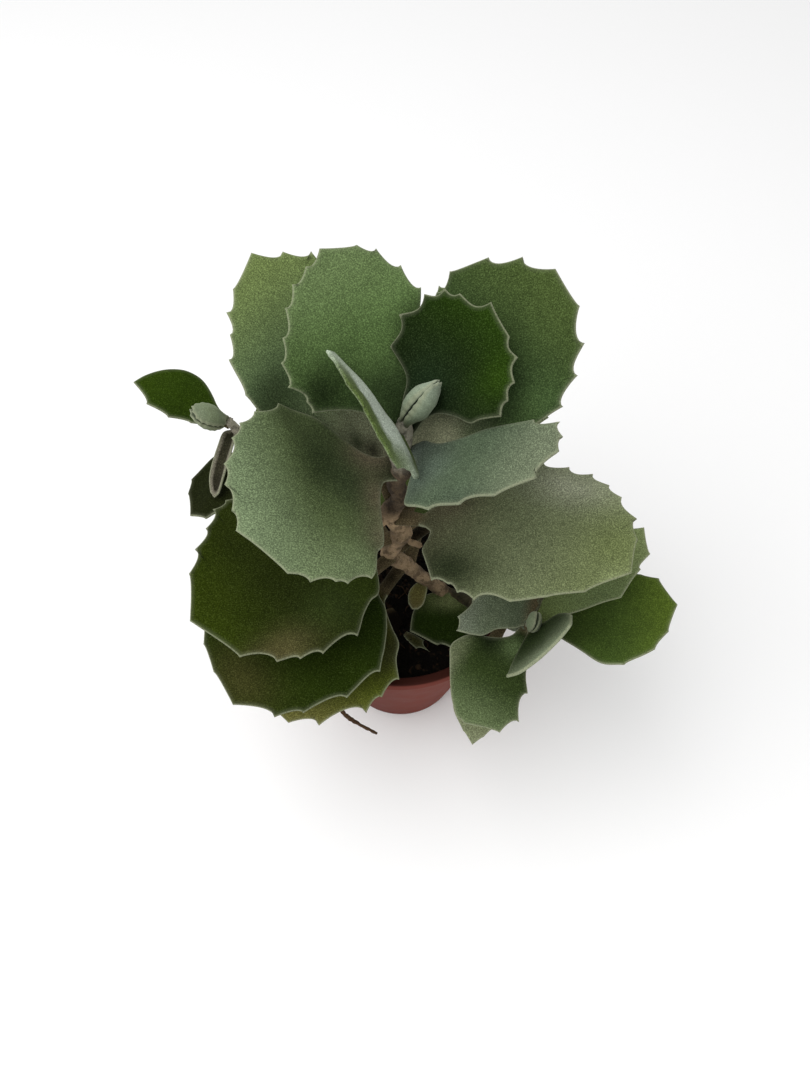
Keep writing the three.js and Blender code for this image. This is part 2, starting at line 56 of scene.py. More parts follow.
# The pot and its filling, in millimetres: the parts that nobody would resize.
BASE = 2.0
ROUNDING = 0.6
DRAIN_HOLES = dict(count=6, radius=3.2, ring=16.0)
BASE_MIDDLE = 8
SOIL_BORDER = 0.3
SOIL_FOOT = 2.4
SOIL_FOOT_BORDER = 1.4
SOIL_TOP_COURSE = 4
SOIL_LOW_COURSE = 3.5
SOIL_RELIEF = 0.8

# The camera and the large soft light, in metres and degrees.
CAMERA_PLACE = (0.002, -0.157, 0.345)
CAMERA_TILT = 33
CAMERA_LENS = 27.03
LIGHT_PLACE = (-0.5, -0.2, 1.05)
LIGHT_SIZE = 1.1
PLANT_MIDDLE = (0, 0, 0.11)
FLOOR_SIZE = 3.0
FLOOR_DROP = 0.0002

# Stations along the woody parts: x, y, z and radius.
TRUNK = [(22, 1, 43, 3.3), (21, 0, 57, 3.2), (18, -2, 68, 2.7), (11, -3, 79, 2.5), (4, -3, 89, 2.7),
         (-3, -2.5, 98, 3.3), (-2, -2, 103, 3.1), (0.8, -1.5, 110.5, 3.5), (-0.8, -1, 115.5, 3.3),
         (-3, -0.6, 121, 3.4), (-1.2, 0.2, 125, 3), (0.6, 0.6, 129.5, 3.1), (-1, 1, 135.5, 2.9),
         (0.8, 1.3, 141.5, 3), (0.3, 2, 148, 2.8), (1, 2.8, 155, 3.1), (1.6, 3, 160, 2.7),
         (2, 3.3, 163.5, 1.6)]
LEFT_SHOOT = [(-1, -2, 99, 2.2), (-18, 8, 101, 2.2), (-40, 25, 106, 2), (-55, 36, 113, 2),
              (-62, 39, 123, 1.4)]
RIGHT_SHOOT = [(18, -2, 68, 2.6), (27, -9, 73, 2.5), (37, -19, 80, 2.4), (43, -26, 87, 2.2),
               (44.4, -28.8, 94.6, 1.3)]
DEAD_STALK = [(-24, -20, 62, 0.9), (-25, -27, 72, 0.9), (-25.5, -35, 77.5, 0.85), (-25, -41, 75.5, 0.8),
              (-23.5, -45, 67, 0.8), (-21, -46.5, 57, 0.8), (-17.5, -46.5, 48, 0.75), (-9, -48.5, 40, 0.5)]
# Stubs of dropped stalks on the trunk: the same, each from the wood outward.
STUBS = [[(-3, -2.5, 97, 1.9), (-5.5, -4.5, 96.6, 1.8), (-7.6, -6.2, 96.4, 1.5)],
         [(-3.5, -1, 120, 1.5), (-6.5, -3.2, 117.5, 1.3), (-7.6, -4, 115.6, 0.9)],
         [(0.5, -1.5, 109.6, 1.3), (4, -3.5, 107.3, 1.1), (7.5, -4.2, 106, 1)]]
# Heights on the trunk where a pair of leaves stands or a leaf has dropped and left its scar, and how far up
# and down a scar swells the wood.
KNOTS = (62, 72, 79.5, 91, 98.5, 110, 121, 129.5, 141, 148, 154)
KNOT_REACH = 0.9
WOOD = dict(step=0.9, sides=32, rough=0.5)

# The mesh of a leaf. Steps, rows of points and distances are in millimetres, shares are of the whole.
FLANK_STEP = 0.25
ARC_POINTS = 25
ARC_FULLNESS = 0.85
PLAIN_DEPTH_SHARE = 0.03
# Half the width of a blade where its stalk ends, which is less on a slim leaf.
NECK = 2.4
NECK_SHARE = 0.45
SHORTEST_STALK = 1.5
STALK_START = 0.8
STALK_END_GAP = 0.4
STALK_STEP = 1.1
# Above 1, the ribs slant forward from the midrib to the edge.
RIB_SLANT = 1.08
LEAST_MARK_SHARE = 0.004
EDGE_ROWS = (0.12, 0.4, 1.0, 2.2)
EDGE_ROW_SHARES = (0.04, 0.13, 0.26, 0.42)
INNER_ROW_SHARES = (0, 0.1, 0.26, 0.46, 0.66, 0.85)
EDGE_ROUNDING = 0.5
EDGE_TO_MIDDLE = 12
HOLLOW_DEPTH = 0.35
HOLLOW_WIDTH = 1.4
BUCKLE = 0.22
# The distance from the edge that is given to points without a pale line, or added to theirs.
NO_LINE = 5.0

# Sheet values that a leaf has unless its own row says otherwise. Bend curves it along its length and cup
# across it, in radians per millimetre. Thin scales the thickness of its blade and stalk, and foot the breadth
# of its stalk. Plump is how far its underside bulges. Dip scales the arcs between its teeth, and a lean below
# 1 puts the deepest point of an arc nearer the stalk. Plain gives the longest arc on its right and on its
# left: a longer stretch of edge is nearly straight. Line says whether its edge is pale. Band is a strip along
# the edge in another colour, as its width and its colour.
PLAIN_SHEET = dict(roll=0, bend=-0.004, cup=0.006, thin=1.0, foot=1.3, dip=1.0, lean=0.6, plain=(11, 11),
                   plump=0, line=True, band=None, patches=())

# Each leaf: where its stalk starts, which way it heads, how it rises, its stalk's length, and its edge as
# points along and across the leaf. Tones are the felt's colour at the blade's foot, middle and tip, and hold
# painted shade where a leaf lies in the shade of others. A patch is its middle, its reach along and across,
# its colour and its strength; many dark patches are painted shade, and some pale ones are painted light.
CROWN_LEAVES = [
    dict(name="leaf_crown_right", at=(1, 3, 154), heading=35, rise=54, stalk=3, roll=11, cup=0.01, dip=1.25,
         lean=1.3,
         right=[(6, -2.6), (10.5, -2.9), (14.6, -5.6), (17.2, -10.2), (18.4, -14.4), (19.5, -16.6),
                (22, -18.2)],
         teeth=[(26.6, -22.8), (31.1, -21.5), (36, -19.8), (41.7, -15.6), (44.6, -10), (48.8, 1),
                (45.3, 10.2), (43.8, 14.8), (39, 19), (30, 22), (21, 19)],
         left=[(17, 10), (11, 7), (6, 4.6)],
         patches=[(35, -15, 9, 7, "263c07", 0.8), (17, 2, 10, 9, "1b2c1a", 0.7)],
         tones=("1c2514", "17240b", "213507")),
    # Its pale tones and patches are pale young felt, partly painted sheen of the felt seen at a grazing
    # angle; its olive band is painted shade where its edge curls under.
    dict(name="leaf_crown_spear", at=(1, 3, 154.5), heading=222, rise=70.3, stalk=5, roll=-15.5,
         bend=-0.006, cup=-0.01, thin=1.15, dip=0.5, line=False, band=(5, "4c5b30"),
         right=[(10, -7), (16, -17)],
         teeth=[(21, -21), (26, -22), (31, -20), (35, -15), (38, -8), (40.3, 0), (38, 8), (35, 15),
                (31, 20), (26, 22), (21, 21)],
         left=[(15, 20.5), (10.6, 19.6), (6.8, 17.2), (4.2, 13), (4, 8)],
         patches=[(29, -17, 12, 9, "a8b4a0", 1), (14, 20, 9, 4.5, "a8b4a0", 1)],
         tones=("a0aa9c", "b0baac", "b0baac")),
]
UPPER_LEAVES = [
    # Its dark foot tone and its dark patches are painted shade.
    dict(name="leaf_back_left", at=(-0.6, 3.9, 147.5), heading=124, rise=59, stalk=3, bend=-0.0045,
         right=[(5, -4.4), (8, -6.4), (11, -8.6), (15, -11.5), (20, -14), (26, -17), (33, -20), (38, -23)],
         teeth=[(43, -25), (51, -22), (58, -17), (61, -12), (64, -1), (61, 5), (58, 11), (53, 16), (46, 21),
                (40, 24), (33, 25), (27, 21.5), (23.5, 21.5)],
         left=[(21.1, 14.5), (17.8, 8), (13.3, 3.6), (8, 2.4)],
         patches=[(27, 16, 10, 9, "1a2610", 0.95), (20, -4, 7, 10, "22301b", 0.5)],
         tones=("1b2913", "536a3c", "607249")),
    dict(name="leaf_right_upper", at=(0.3, 2, 149), heading=-32, rise=37, stalk=3, roll=6,
         right=[(7, -2.6), (10.5, -5), (12, -10.4), (14, -15.4), (18.3, -21.7)],
         teeth=[(28, -23), (36, -19), (45, -15), (54, -7), (56, 3), (55, 8), (52, 13), (44, 13)],
         left=[(31, 9.5), (24, 6), (17.2, 4), (12.9, 3.8), (8, 4.8)],
         patches=[(34, -17, 9, 5, "445040", 0.7), (17, -8, 7, 7, "687769", 0.7)],
         tones=("4d564e", "4e5c47", "6a735c")),
    # Its dark foot tone and its darkest patches are painted shade near the stem and in its hollow, and its
    # pale tip is partly painted light.
    dict(name="leaf_left_broad", at=(0, 1, 140), heading=214, rise=24, stalk=0, roll=-20, lean=0.75,
         right=[(0.6, -6.6), (3.2, -7), (6, -7.4), (10.2, -9.8), (14.5, -14.8), (18.4, -20.5),
                (22.8, -24.8), (26.5, -27)],
         teeth=[(32, -30), (40, -29), (45, -27), (49, -23), (54, -16), (56, -10), (57, -2), (58, 4),
                (49.4, 20.8), (44.4, 25.3), (38.2, 28.3), (35.3, 30.2), (26.6, 30.2)],
         left=[(24.2, 28.4), (20.6, 23), (16.8, 20.6), (13.4, 11.8), (11.2, 7), (8.9, 3.2), (6, 1.6)],
         patches=[(33, 27, 14, 10, "6a7856", 0.8), (7, -9, 9, 6, "6a604e", 0.9),
                  (12, 6, 6, 7, "5e5644", 0.8), (17, 19, 6, 7, "5c5644", 0.7),
                  (25, -9, 9, 10, "1e2814", 0.85), (20, 0, 6, 7, "2a3420", 0.6)],
         tones=("2c3420", "485434", "728261")),
    dict(name="leaf_back_right", at=(0, 1, 139), heading=34, rise=52, stalk=3, roll=14,
         right=[(6, -4.5), (13, -8.5), (18, -12.5), (28, -18), (40, -25)],
         teeth=[(50, -29), (59, -26), (67, -21), (74, -13), (78, 0), (75, 10), (69, 18), (59, 25), (52, 24)],
         left=[(40, 19), (28, 14), (18, 9.5), (9, 6)],
         patches=[(20, -5, 8, 8, "8e9074", 0.9), (27, -11, 5, 4, "3c4a30", 0.6),
                  (43, -21, 9, 7, "425630", 0.8)],
         tones=("8f9076", "2e4023", "425128")),
    # Its dark patches are painted shade, the two small ones in the dark hollow by the stem.
    dict(name="leaf_back_left_outer", at=(-1, 1, 121), heading=130, rise=56, stalk=17, roll=4,
         right=[(17.6, -6.4), (22, -9), (32, -12), (42, -17), (55, -22)],
         teeth=[(65, -24), (76, -21), (85, -16), (89, -8), (93, 1), (86, 13), (81, 19), (75, 22), (69, 27),
                (58, 29)],
         left=[(50, 26), (41, 21), (32, 16), (24, 11.5), (18.5, 7)],
         patches=[(52, 19, 10, 9, "2e3a22", 0.9), (34, -3, 9, 8, "757960", 0.85),
                  (27.6, 2.8, 4.4, 3, "232b18", 0.85), (22.4, -1.2, 4, 2.8, "211f14", 0.85)],
         tones=("7e7e66", "586b48", "6c7c48")),
    # Its large dark patch is painted shade.
    dict(name="leaf_right_broad", at=(-1, -1, 119), heading=-23, rise=22, stalk=10, roll=3, foot=1.6,
         right=[(12.5, -2.8), (15, -4.4), (15.2, -7.6), (15, -11.6), (17.2, -14.8), (20, -18.5)],
         teeth=[(23, -22.7), (28.5, -22.6), (32.5, -25), (39, -27), (49, -24), (59, -19), (69, -14),
                (80, -3), (79, 9), (77, 16), (71, 22), (66, 25), (60, 28), (52, 29), (44, 28)],
         left=[(33, 25), (23, 19), (16, 11), (12, 5)],
         patches=[(27, -17, 13, 10, "222a18", 0.95), (54, 22, 16, 7, "929680", 0.9),
                  (18, 8, 8, 6, "4c4636", 0.7), (77, -7, 6, 5, "7e885e", 0.6), (72, 4, 6, 6, "5e683e", 0.5)],
         tones=("4a4a36", "666e50", "677148")),
]
LOWER_LEAVES = [
    dict(name="leaf_left_lower", at=(-2, -1, 107), heading=211, rise=14, stalk=11, roll=-8, plain=(11, 14.5),
         right=[(15, -7), (23, -20), (33, -30)],
         teeth=[(42, -34), (48, -34), (53, -33), (58, -27), (64, -22), (69, -15), (75, 0), (66, 19),
                (56.7, 25.6), (49.7, 28), (43, 30.5), (30.5, 29.8)],
         left=[(28, 27), (25.2, 23.7), (22.7, 21.4), (19.6, 19.3), (17, 18.7), (14.6, 15.6), (12, 9)],
         patches=[(54, 23, 12, 6, "544e30", 0.75), (32, 17, 11, 9, "323f1a", 0.65)],
         tones=("2c380d", "1f2705", "2b3704")),
    dict(name="leaf_back_right_lower", at=(-1, 0, 110), heading=41, rise=57, stalk=34, roll=12,
         right=[(42, -8), (53, -20)],
         teeth=[(62, -25), (71, -24), (78, -21), (86, -15), (95, -2), (94, 12), (86, 24), (77, 29), (67, 30)],
         left=[(56, 25), (44, 11)],
         tones=("44522e", "52643a", "5c6c40")),
    dict(name="leaf_left_bottom", at=(-1, -2, 98), heading=224, rise=5, stalk=13, roll=-10, dip=0.65,
         plain=(9, 14.9),
         right=[(18, -9), (27, -20), (36, -27)],
         teeth=[(46, -31), (55, -31), (63, -29), (72.1, -17.6), (75.4, -8.1), (77.4, 4.8), (69.8, 17.4),
                (62, 23), (48.5, 28.8), (35, 30)],
         left=[(31.6, 27.1), (27.6, 24), (23, 19.9), (20.3, 16.9), (17.8, 13.5), (16, 8)],
         patches=[(70, 0, 10, 14, "3c3a1c", 0.7)],
         tones=("1d2c05", "202d04", "232f06")),
    # The dark patch on its stalk is painted shade.
    dict(name="leaf_left_lowest", at=(1, -3, 91), heading=236, rise=-5, stalk=13, plain=(11, 17.5),
         right=[(17, -9), (25, -18), (36, -22)],
         teeth=[(47, -23), (58, -19), (68, -14), (69, -2), (64, 7.8), (51.8, 20), (44.5, 21.6), (36.4, 23.2)],
         left=[(31.4, 18.9), (26, 16.4), (22.5, 11.2), (19, 6.4), (15.7, 3)],
         patches=[(30, 16, 9, 6, "29291a", 0.75), (7, 0, 5, 4, "1a160e", 0.8)],
         tones=("393814", "4d561a", "706e3a")),
]
REAR_LEAVES = [
    # The dark patch on its stalk is painted shade.
    dict(name="leaf_rear_right", at=(-1, -1, 99), heading=28, rise=26, stalk=16,
         right=[(22, -10), (29, -18)],
         teeth=[(36, -23), (44, -22), (51, -18), (58, -10), (62, 0), (58, 10), (51, 18), (44, 22), (36, 23)],
         left=[(29, 18), (22, 10)],
         patches=[(10, 0, 7, 5, "120e09", 1)],
         tones=("3e4a26", "485630", "50603a")),
    dict(name="leaf_rear_middle", at=(3, -3, 90), heading=74, rise=20, stalk=18,
         right=[(24, -9), (30, -17)],
         teeth=[(37, -22), (45, -21), (52, -16), (58, -8), (60, 1), (57, 10), (51, 17), (44, 21), (37, 21)],
         left=[(30, 17), (24, 9)],
         tones=("3e4a26", "4a562e", "525e38")),
    dict(name="leaf_rear_left", at=(1, -3, 93), heading=122, rise=10, stalk=18,
         right=[(24, -9), (30, -16)],
         teeth=[(37, -20), (45, -19), (52, -14), (57, -6), (58, 3), (54, 12), (47, 18), (38, 19)],
         left=[(31, 16), (24, 9)],
         tones=("3e4824", "46522a", "4c5832")),
]
RIGHT_SHOOT_LEAVES = [
    dict(name="leaf_right_shoot_back", at=(44.5, -27.5, 91), heading=32, rise=30, stalk=1, roll=-26,
         thin=0.7,
         right=[(3, -4.5), (8, -6), (14, -8.5), (22, -12.5)],
         teeth=[(31, -17), (42, -11), (48, -7), (53, 5), (48, 11), (41, 14), (33, 15)],
         left=[(24, 14), (14, 12), (7, 9), (3, 5)],
         tones=("616e40", "68774d", "768356")),
    dict(name="leaf_right_shoot_front", at=(44.5, -27.5, 91), heading=238, rise=-3, stalk=2, roll=-8,
         thin=0.7,
         right=[(3, -1.9), (5.7, -2.4), (7.7, -3.8), (9.9, -6.5), (11.8, -10.2), (13, -14), (20, -18.4),
                (25.5, -16.2), (35, -10)],
         teeth=[(41, -4), (41.2, -1), (37.5, 10.5), (31.1, 14.2), (21.2, 12)],
         left=[(15, 8), (7, 6)],
         patches=[(28, -16, 14, 3, "6e7458", 0.8), (12, -8, 5, 4, "10180a", 0.8),
                  (10, 0, 4, 4, "5e7048", 0.7)],
         tones=("1a240c", "2d3a1a", "5a6846")),
    dict(name="leaf_right_shoot_far", at=(43, -26, 86), heading=-2, rise=24, stalk=6, roll=-14, thin=0.8,
         dip=0.2,
         right=[(11, -4), (16, -9), (22, -15), (28, -20)],
         teeth=[(35, -22), (45, -16), (50, -8), (54, 4), (49, 16), (43, 18), (34, 20)],
         left=[(26, 19), (18, 15), (11, 8)],
         tones=("3d4d1f", "405321", "4d5f1f")),
    dict(name="leaf_right_shoot_inner", at=(45, -28, 94), heading=168, rise=11, stalk=1, roll=-6, thin=0.6,
         dip=0.6,
         right=[(-0.8, -2.2), (-2.9, -6.3), (-4.8, -11), (1, -13.8), (9, -12), (15, -8)],
         teeth=[(21, -3), (24.8, 4.8), (23.9, 6.2), (24.2, 10)],
         left=[(17, 9.8), (14, 8.6), (11, 5.9), (7.7, 4.6), (4.5, 3.6), (2.3, 2.1)],
         tones=("545e49", "5e6852", "707867")),
    dict(name="leaf_right_shoot_under", at=(38, -20.5, 81.5), heading=240.5, rise=-16, stalk=8, roll=10,
         dip=0.2,
         right=[(13.6, -4.1), (25.5, -5.7), (35.6, -3.2)],
         teeth=[(42.1, 4), (45, 9.3), (40.7, 11.9), (36.8, 13.7)],
         left=[(27, 16.2), (18.8, 13.6), (12.4, 9)],
         tones=("5e6448", "6c7450", "7c8264")),
    # Its dark tones are partly painted shade inside its fold, and its pale patch is pale felt, partly painted
    # light where it turns up and out.
    dict(name="leaf_right_shoot_boat", at=(45, -28, 94), heading=-70, rise=34, stalk=4, roll=33, bend=0.02,
         cup=0.02, thin=1.1, dip=0.15,
         right=[(5.6, -5), (10.6, -10.5), (18.5, -14.5)],
         teeth=[(26, -17), (31, -12.6), (33.4, -4.5), (32.4, 3), (32, 9.4), (26, 12)],
         left=[(16.7, 11.1), (10.3, 8.3), (6.8, 3)],
         patches=[(34, -3, 12, 22, "7f8a6e", 1)],
         tones=("162305", "1c2b06", "2a3a11")),
]
LEFT_SHOOT_LEAVES = [
    dict(name="leaf_left_shoot_side", at=(-61, 40, 119), heading=166, rise=25, stalk=3, dip=0.45,
         right=[(7, -4), (11.5, -8.5), (16.6, -12.5), (21, -13.5), (25.5, -12.5), (31, -9.5), (35, -5)],
         teeth=[(37.8, 0), (30, 7), (21.3, 8.8), (13.5, 7)],
         left=[(8, 5)],
         tones=("243503", "263803", "2a3c04")),
    dict(name="leaf_left_shoot_boat", at=(-60, 39, 118), heading=256, rise=-12, stalk=0, roll=30, cup=0.2,
         thin=0.8, dip=0.1, band=(1.4, "6e695c"),
         right=[(2, -4.4), (7.6, -4.8), (15.7, -4.8), (21, -4.2)],
         teeth=[(25.6, -2.6), (27.7, -0.4), (26.1, 2.2)],
         left=[(21.5, 3.4), (15, 2.6), (7, 2.2)],
         tones=("2a2a1e", "302e22", "1e1c14")),
    dict(name="leaf_left_shoot_under", at=(-50, 32, 110), heading=205, rise=-8, stalk=5, roll=10, dip=0.3,
         right=[(9, -9), (17, -12.5)],
         teeth=[(28, -7), (31, -1), (33, 10), (28, 16)],
         left=[(16, 14), (9, 8)],
         tones=("1a1e05", "181d05", "171b05")),
    dict(name="leaf_left_shoot_back", at=(-57, 37, 115), heading=30, rise=30, stalk=4,
         right=[(9, -6), (14, -9)],
         teeth=[(20, -9), (25, -6), (28, 0), (25, 6), (20, 9)],
         left=[(14, 9), (9, 6)],
         tones=("42502a", "4c5c34", "546440")),
]
SOIL_LEAVES = [
    dict(name="leaf_soil_front", at=(16, -3, 71), heading=-88, rise=9, stalk=0.3, roll=-2, cup=0.02,
         right=[(0.8, -4.4), (2.9, -7.6), (6.8, -10), (12, -12)],
         teeth=[(19, -13), (24, -3), (26, 3), (24, 9), (17, 14)],
         left=[(12, 12.4), (7.6, 9.7), (3.3, 5.8), (1, 3.4)],
         patches=[(4.5, 3, 4, 7, "666e48", 0.9)],
         tones=("505c33", "1b2a04", "172403")),
    dict(name="leaf_soil_round", at=(9.4, -2.5, 79.5), heading=250, rise=4, stalk=1, cup=0.05, dip=0,
         right=[(3, -2.6), (6, -3.6), (9, -3.4)],
         teeth=[(12, -2.2), (13.8, 0), (13, 2)],
         left=[(10.5, 3.2), (6, 2.8), (3, 2.2)],
         tones=("5e5b35", "635e35", "5e5735")),
]

# Closed pairs of young leaves at the shoot tips. Each pair has two leaves, on either side of its plane.
BUD_PAIRS = [
    dict(names=("bud_crown_front", "bud_crown_back"), at=(1, 2.5, 161.8),
         heading=17, rise=55, roll=122, facing=0.9, apart=0.8, bend=0.004, length=19, width=9.8, plump=3,
         tones=("5e6a54", "82907e", "8c9a8c")),
    dict(names=("bud_left_shoot_lower", "bud_left_shoot_upper"), at=(-62, 39, 122.7),
         heading=205, rise=38, roll=0, facing=4, apart=0.8, bend=0.01, length=15, width=11, plump=2.6,
         tones=("4a543c", "586448", "606a56")),
    dict(names=("bud_right_shoot_front", "bud_right_shoot_back"), at=(44.3, -30, 95),
         heading=-30, rise=72, roll=20, facing=4, apart=0.4, bend=0.01, length=9, width=7, plump=1.4,
         tones=("3e4a30", "4c5a40", "667058")),
]
BUD_SHEET = dict(cup=0.05, stalk=2, thin=0.5, foot=1.0, dip=1.0, lean=1.0, plain=(11, 11), line=True,
                 band=None, patches=())
# Edges of the leaves that are even on both sides: shares of the length, and of half the width.
BUD_FLANK = (0.16, 0.62)
BUD_TEETH = ((0.28, 0.86), (0.4, 0.97), (0.53, 1), (0.68, 0.96), (0.83, 0.84), (0.95, 0.55))
LOOSE_FLANK = (0.25, 0.8)
LOOSE_TEETH = ((0.6, 1),)
LOOSE_SHEET = PLAIN_SHEET | dict(cup=0.06, stalk=0, thin=0.4)
LOOSE_LEAVES = [
    dict(name="fallen_leaf", at=(2, -19.5, 68.3), heading=-40, rise=3, length=12.4, width=4.8, slot="leaf",
         tones=("3a3620", "343418", "303214")),
    dict(name="withered_leaf", at=(-4.1, -9.4, 68.9), heading=-72, rise=4, length=13.3, width=6.7,
         slot="dry", tones=("120c07", "0e0905", "140d09")),
]


# ---- colours and small sums

def linear(code):
    """The linear colour of a six-letter sRGB colour code."""
    shares = [int(code[i:i + 2], 16) / 255 for i in (0, 2, 4)]
    return tuple(s / 12.92 if s <= 0.04045 else ((s + 0.055) / 1.055) ** 2.4 for s in shares)


def blend(low, high, share):
    """The value that lies at a share of the way from low to high."""
    return low + (high - low) * share


def ease(value, low, high):
    """0 below low, 1 above high, and an S-curve between them."""
    share = np.clip((value - low) / (high - low), 0, 1)
    return share * share * (3 - 2 * share)


def either(first, second):
    """The greater of two heights, with a soft crease where they meet."""
    return (np.maximum(first, 0) ** 4 + np.maximum(second, 0) ** 4) ** 0.25


def spline(stations, step):
    """Points every step or so on a smooth curve through the stations, which may hold a radius too."""
    given = np.array(stations, float)
    ends = np.vstack([2 * given[0] - given[1], given, 2 * given[-1] - given[-2]])
    points = []
    for i in range(1, len(ends) - 2):
        before, start, end, after = ends[i - 1:i + 3]
        count = max(2, round(float(np.linalg.norm(end[:3] - start[:3])) / step))
        for share in np.linspace(0, 1, count, endpoint=False):
            points.append(0.5 * (2 * start + (end - before) * share
                                 + (2 * before - 5 * start + 4 * end - after) * share ** 2
                                 + (3 * start - before - 3 * end + after) * share ** 3))
    points.append(given[-1])
    return np.array(points)


def circle(steps):
    """The cosine and the sine at each of so many even steps round a circle."""
    turns = [2 * math.pi * step / steps for step in range(steps)]
    return [(math.cos(turn), math.sin(turn)) for turn in turns]


# ---- the settings that a user would change

class PotSettings(bpy.types.PropertyGroup):
    """Sizes and colours of the pot."""
    height: bpy.props.FloatProperty(
        name="Height", description="From the table to the top of the lip", default=0.074, unit="LENGTH")
    rim_radius: bpy.props.FloatProperty(
        name="Rim radius", description="Outside radius at the lip", default=0.043, unit="LENGTH")
    foot_radius: bpy.props.FloatProperty(
        name="Foot radius", description="Outside radius at the table", default=0.0255, unit="LENGTH")
    wall: bpy.props.FloatProperty(
        name="Wall", description="Thickness of the moulded wall", default=0.0015, unit="LENGTH")
    lip_height: bpy.props.FloatProperty(
        name="Lip height", description="Height of the rolled band under the rim", default=0.005,
        unit="LENGTH")
    lip_width: bpy.props.FloatProperty(
        name="Lip width", description="How far the band stands out from the wall", default=0.0016,
        unit="LENGTH")
    wall_colour: bpy.props.FloatVectorProperty(
        name="Wall colour", description="Dusty plastic of the wall", subtype="COLOR", min=0, max=1,
        default=linear("6e362c"))
    # Darker plastic on the lip's top and on the inside of the pot.
    rim_colour: bpy.props.FloatVectorProperty(
        name="Rim colour", description="Cleaner, darker plastic of the lip's top", subtype="COLOR", min=0,
        max=1, default=linear("391c16"))


class SoilSettings(bpy.types.PropertyGroup):
    """Level and make-up of the compost."""
    level: bpy.props.FloatProperty(
        name="Level", description="Height of the compost above the table", default=0.067, unit="LENGTH")
    crumbs: bpy.props.IntProperty(
        name="Crumbs", description="Loose crumbs on the surface", default=260, min=0)
    fibres: bpy.props.IntProperty(
        name="Fibres", description="Short brown fibres on the surface", default=45, min=0)
    colour: bpy.props.FloatVectorProperty(
        name="Colour", description="Damp compost", subtype="COLOR", min=0, max=1, default=linear("0c0906"))
    fibre_colour: bpy.props.FloatVectorProperty(
        name="Fibre colour", description="Bark and coir in it", subtype="COLOR", min=0, max=1,
        default=linear("3e2e20"))


class StemSettings(bpy.types.PropertyGroup):
    """The felted woody stem."""
    knot_height: bpy.props.FloatProperty(
        name="Knots", description="How far a leaf scar stands out", default=0.0004, unit="LENGTH")
    colour: bpy.props.FloatVectorProperty(
        name="Felt colour", description="Brown felt on the wood", subtype="COLOR", min=0, max=1,
        default=linear("a78f70"))


class LeafSettings(bpy.types.PropertyGroup):
    """Thickness, teeth and felt of the leaves."""
    middle_thickness: bpy.props.FloatProperty(
        name="Middle", description="Thickness in the middle of a blade", default=0.0018, unit="LENGTH")
    edge_thickness: bpy.props.FloatProperty(
        name="Edge", description="Thickness near its edge", default=0.001, unit="LENGTH")
    stalk_radius: bpy.props.FloatProperty(
        name="Stalk", description="Radius of a leaf's stalk", default=0.0016, unit="LENGTH")
    tooth_depth: bpy.props.FloatProperty(
        name="Tooth depth", description="Depth of the arc between two teeth, as a share of its span",
        default=0.18, min=0, max=0.4, subtype="FACTOR")
    wave: bpy.props.FloatProperty(
        name="Wave", description="How far the blade's edge waves up and down", default=0.0006, unit="LENGTH")
    spacing: bpy.props.FloatProperty(
        name="Spacing", description="Distance between the ribs of the mesh", default=0.001, unit="LENGTH")
    # The edge felt is partly painted sheen of the hairs seen edge-on.
    edge_colour: bpy.props.FloatVectorProperty(
        name="Edge felt", description="Pale felt on every edge", subtype="COLOR", min=0, max=1,
        default=linear("90947a"))
    stalk_colour: bpy.props.FloatVectorProperty(
        name="Stalk felt", description="Brown-green felt on the stalks", subtype="COLOR", min=0, max=1,
        default=linear("544a36"))
    under_colour: bpy.props.FloatVectorProperty(
        name="Underside felt", description="Denser felt under the leaves", subtype="COLOR", min=0, max=1,
        default=linear("8a9478"))


class StageSettings(bpy.types.PropertyGroup):
    """Floor and light."""
    floor_colour: bpy.props.FloatVectorProperty(
        name="Floor", description="Colour of the floor", subtype="COLOR", min=0, max=1,
        default=(0.93, 0.93, 0.93))
    sky: bpy.props.FloatProperty(
        name="Sky", description="Strength of the light from all round", default=0.75, min=0)
    key: bpy.props.FloatProperty(
        name="Key light", description="Power of the large soft light", default=9.0, min=0)


# ---- finishes

class Value:
    """One output socket of a finish, so that shader sums can be written as Python expressions."""

    def __init__(self, finish, socket):
        self.finish = finish
        self.socket = socket

    def sum_of(self, operation, first, second):
        return self.finish.node("ShaderNodeMath", {"operation": operation}, {0: first, 1: second})

    def __add__(self, other):
        return self.sum_of("ADD", self, other)

    def __radd__(self, other):
        return self.sum_of("ADD", other, self)

    def __sub__(self, other):
        return self.sum_of("SUBTRACT", self, other)

    def __rsub__(self, other):
        return self.sum_of("SUBTRACT", other, self)

    def __mul__(self, other):
        return self.sum_of("MULTIPLY", self, other)

    def __rmul__(self, other):
        return self.sum_of("MULTIPLY", other, self)

    def between(self, low, high):
        """0 at low, 1 at high, and an S-curve between them. Low may be the greater of the two."""
        return self.finish.node("ShaderNodeMapRange", {"interpolation_type": "SMOOTHSTEP"},
                                {"Value": self, "From Min": low, "From Max": high})


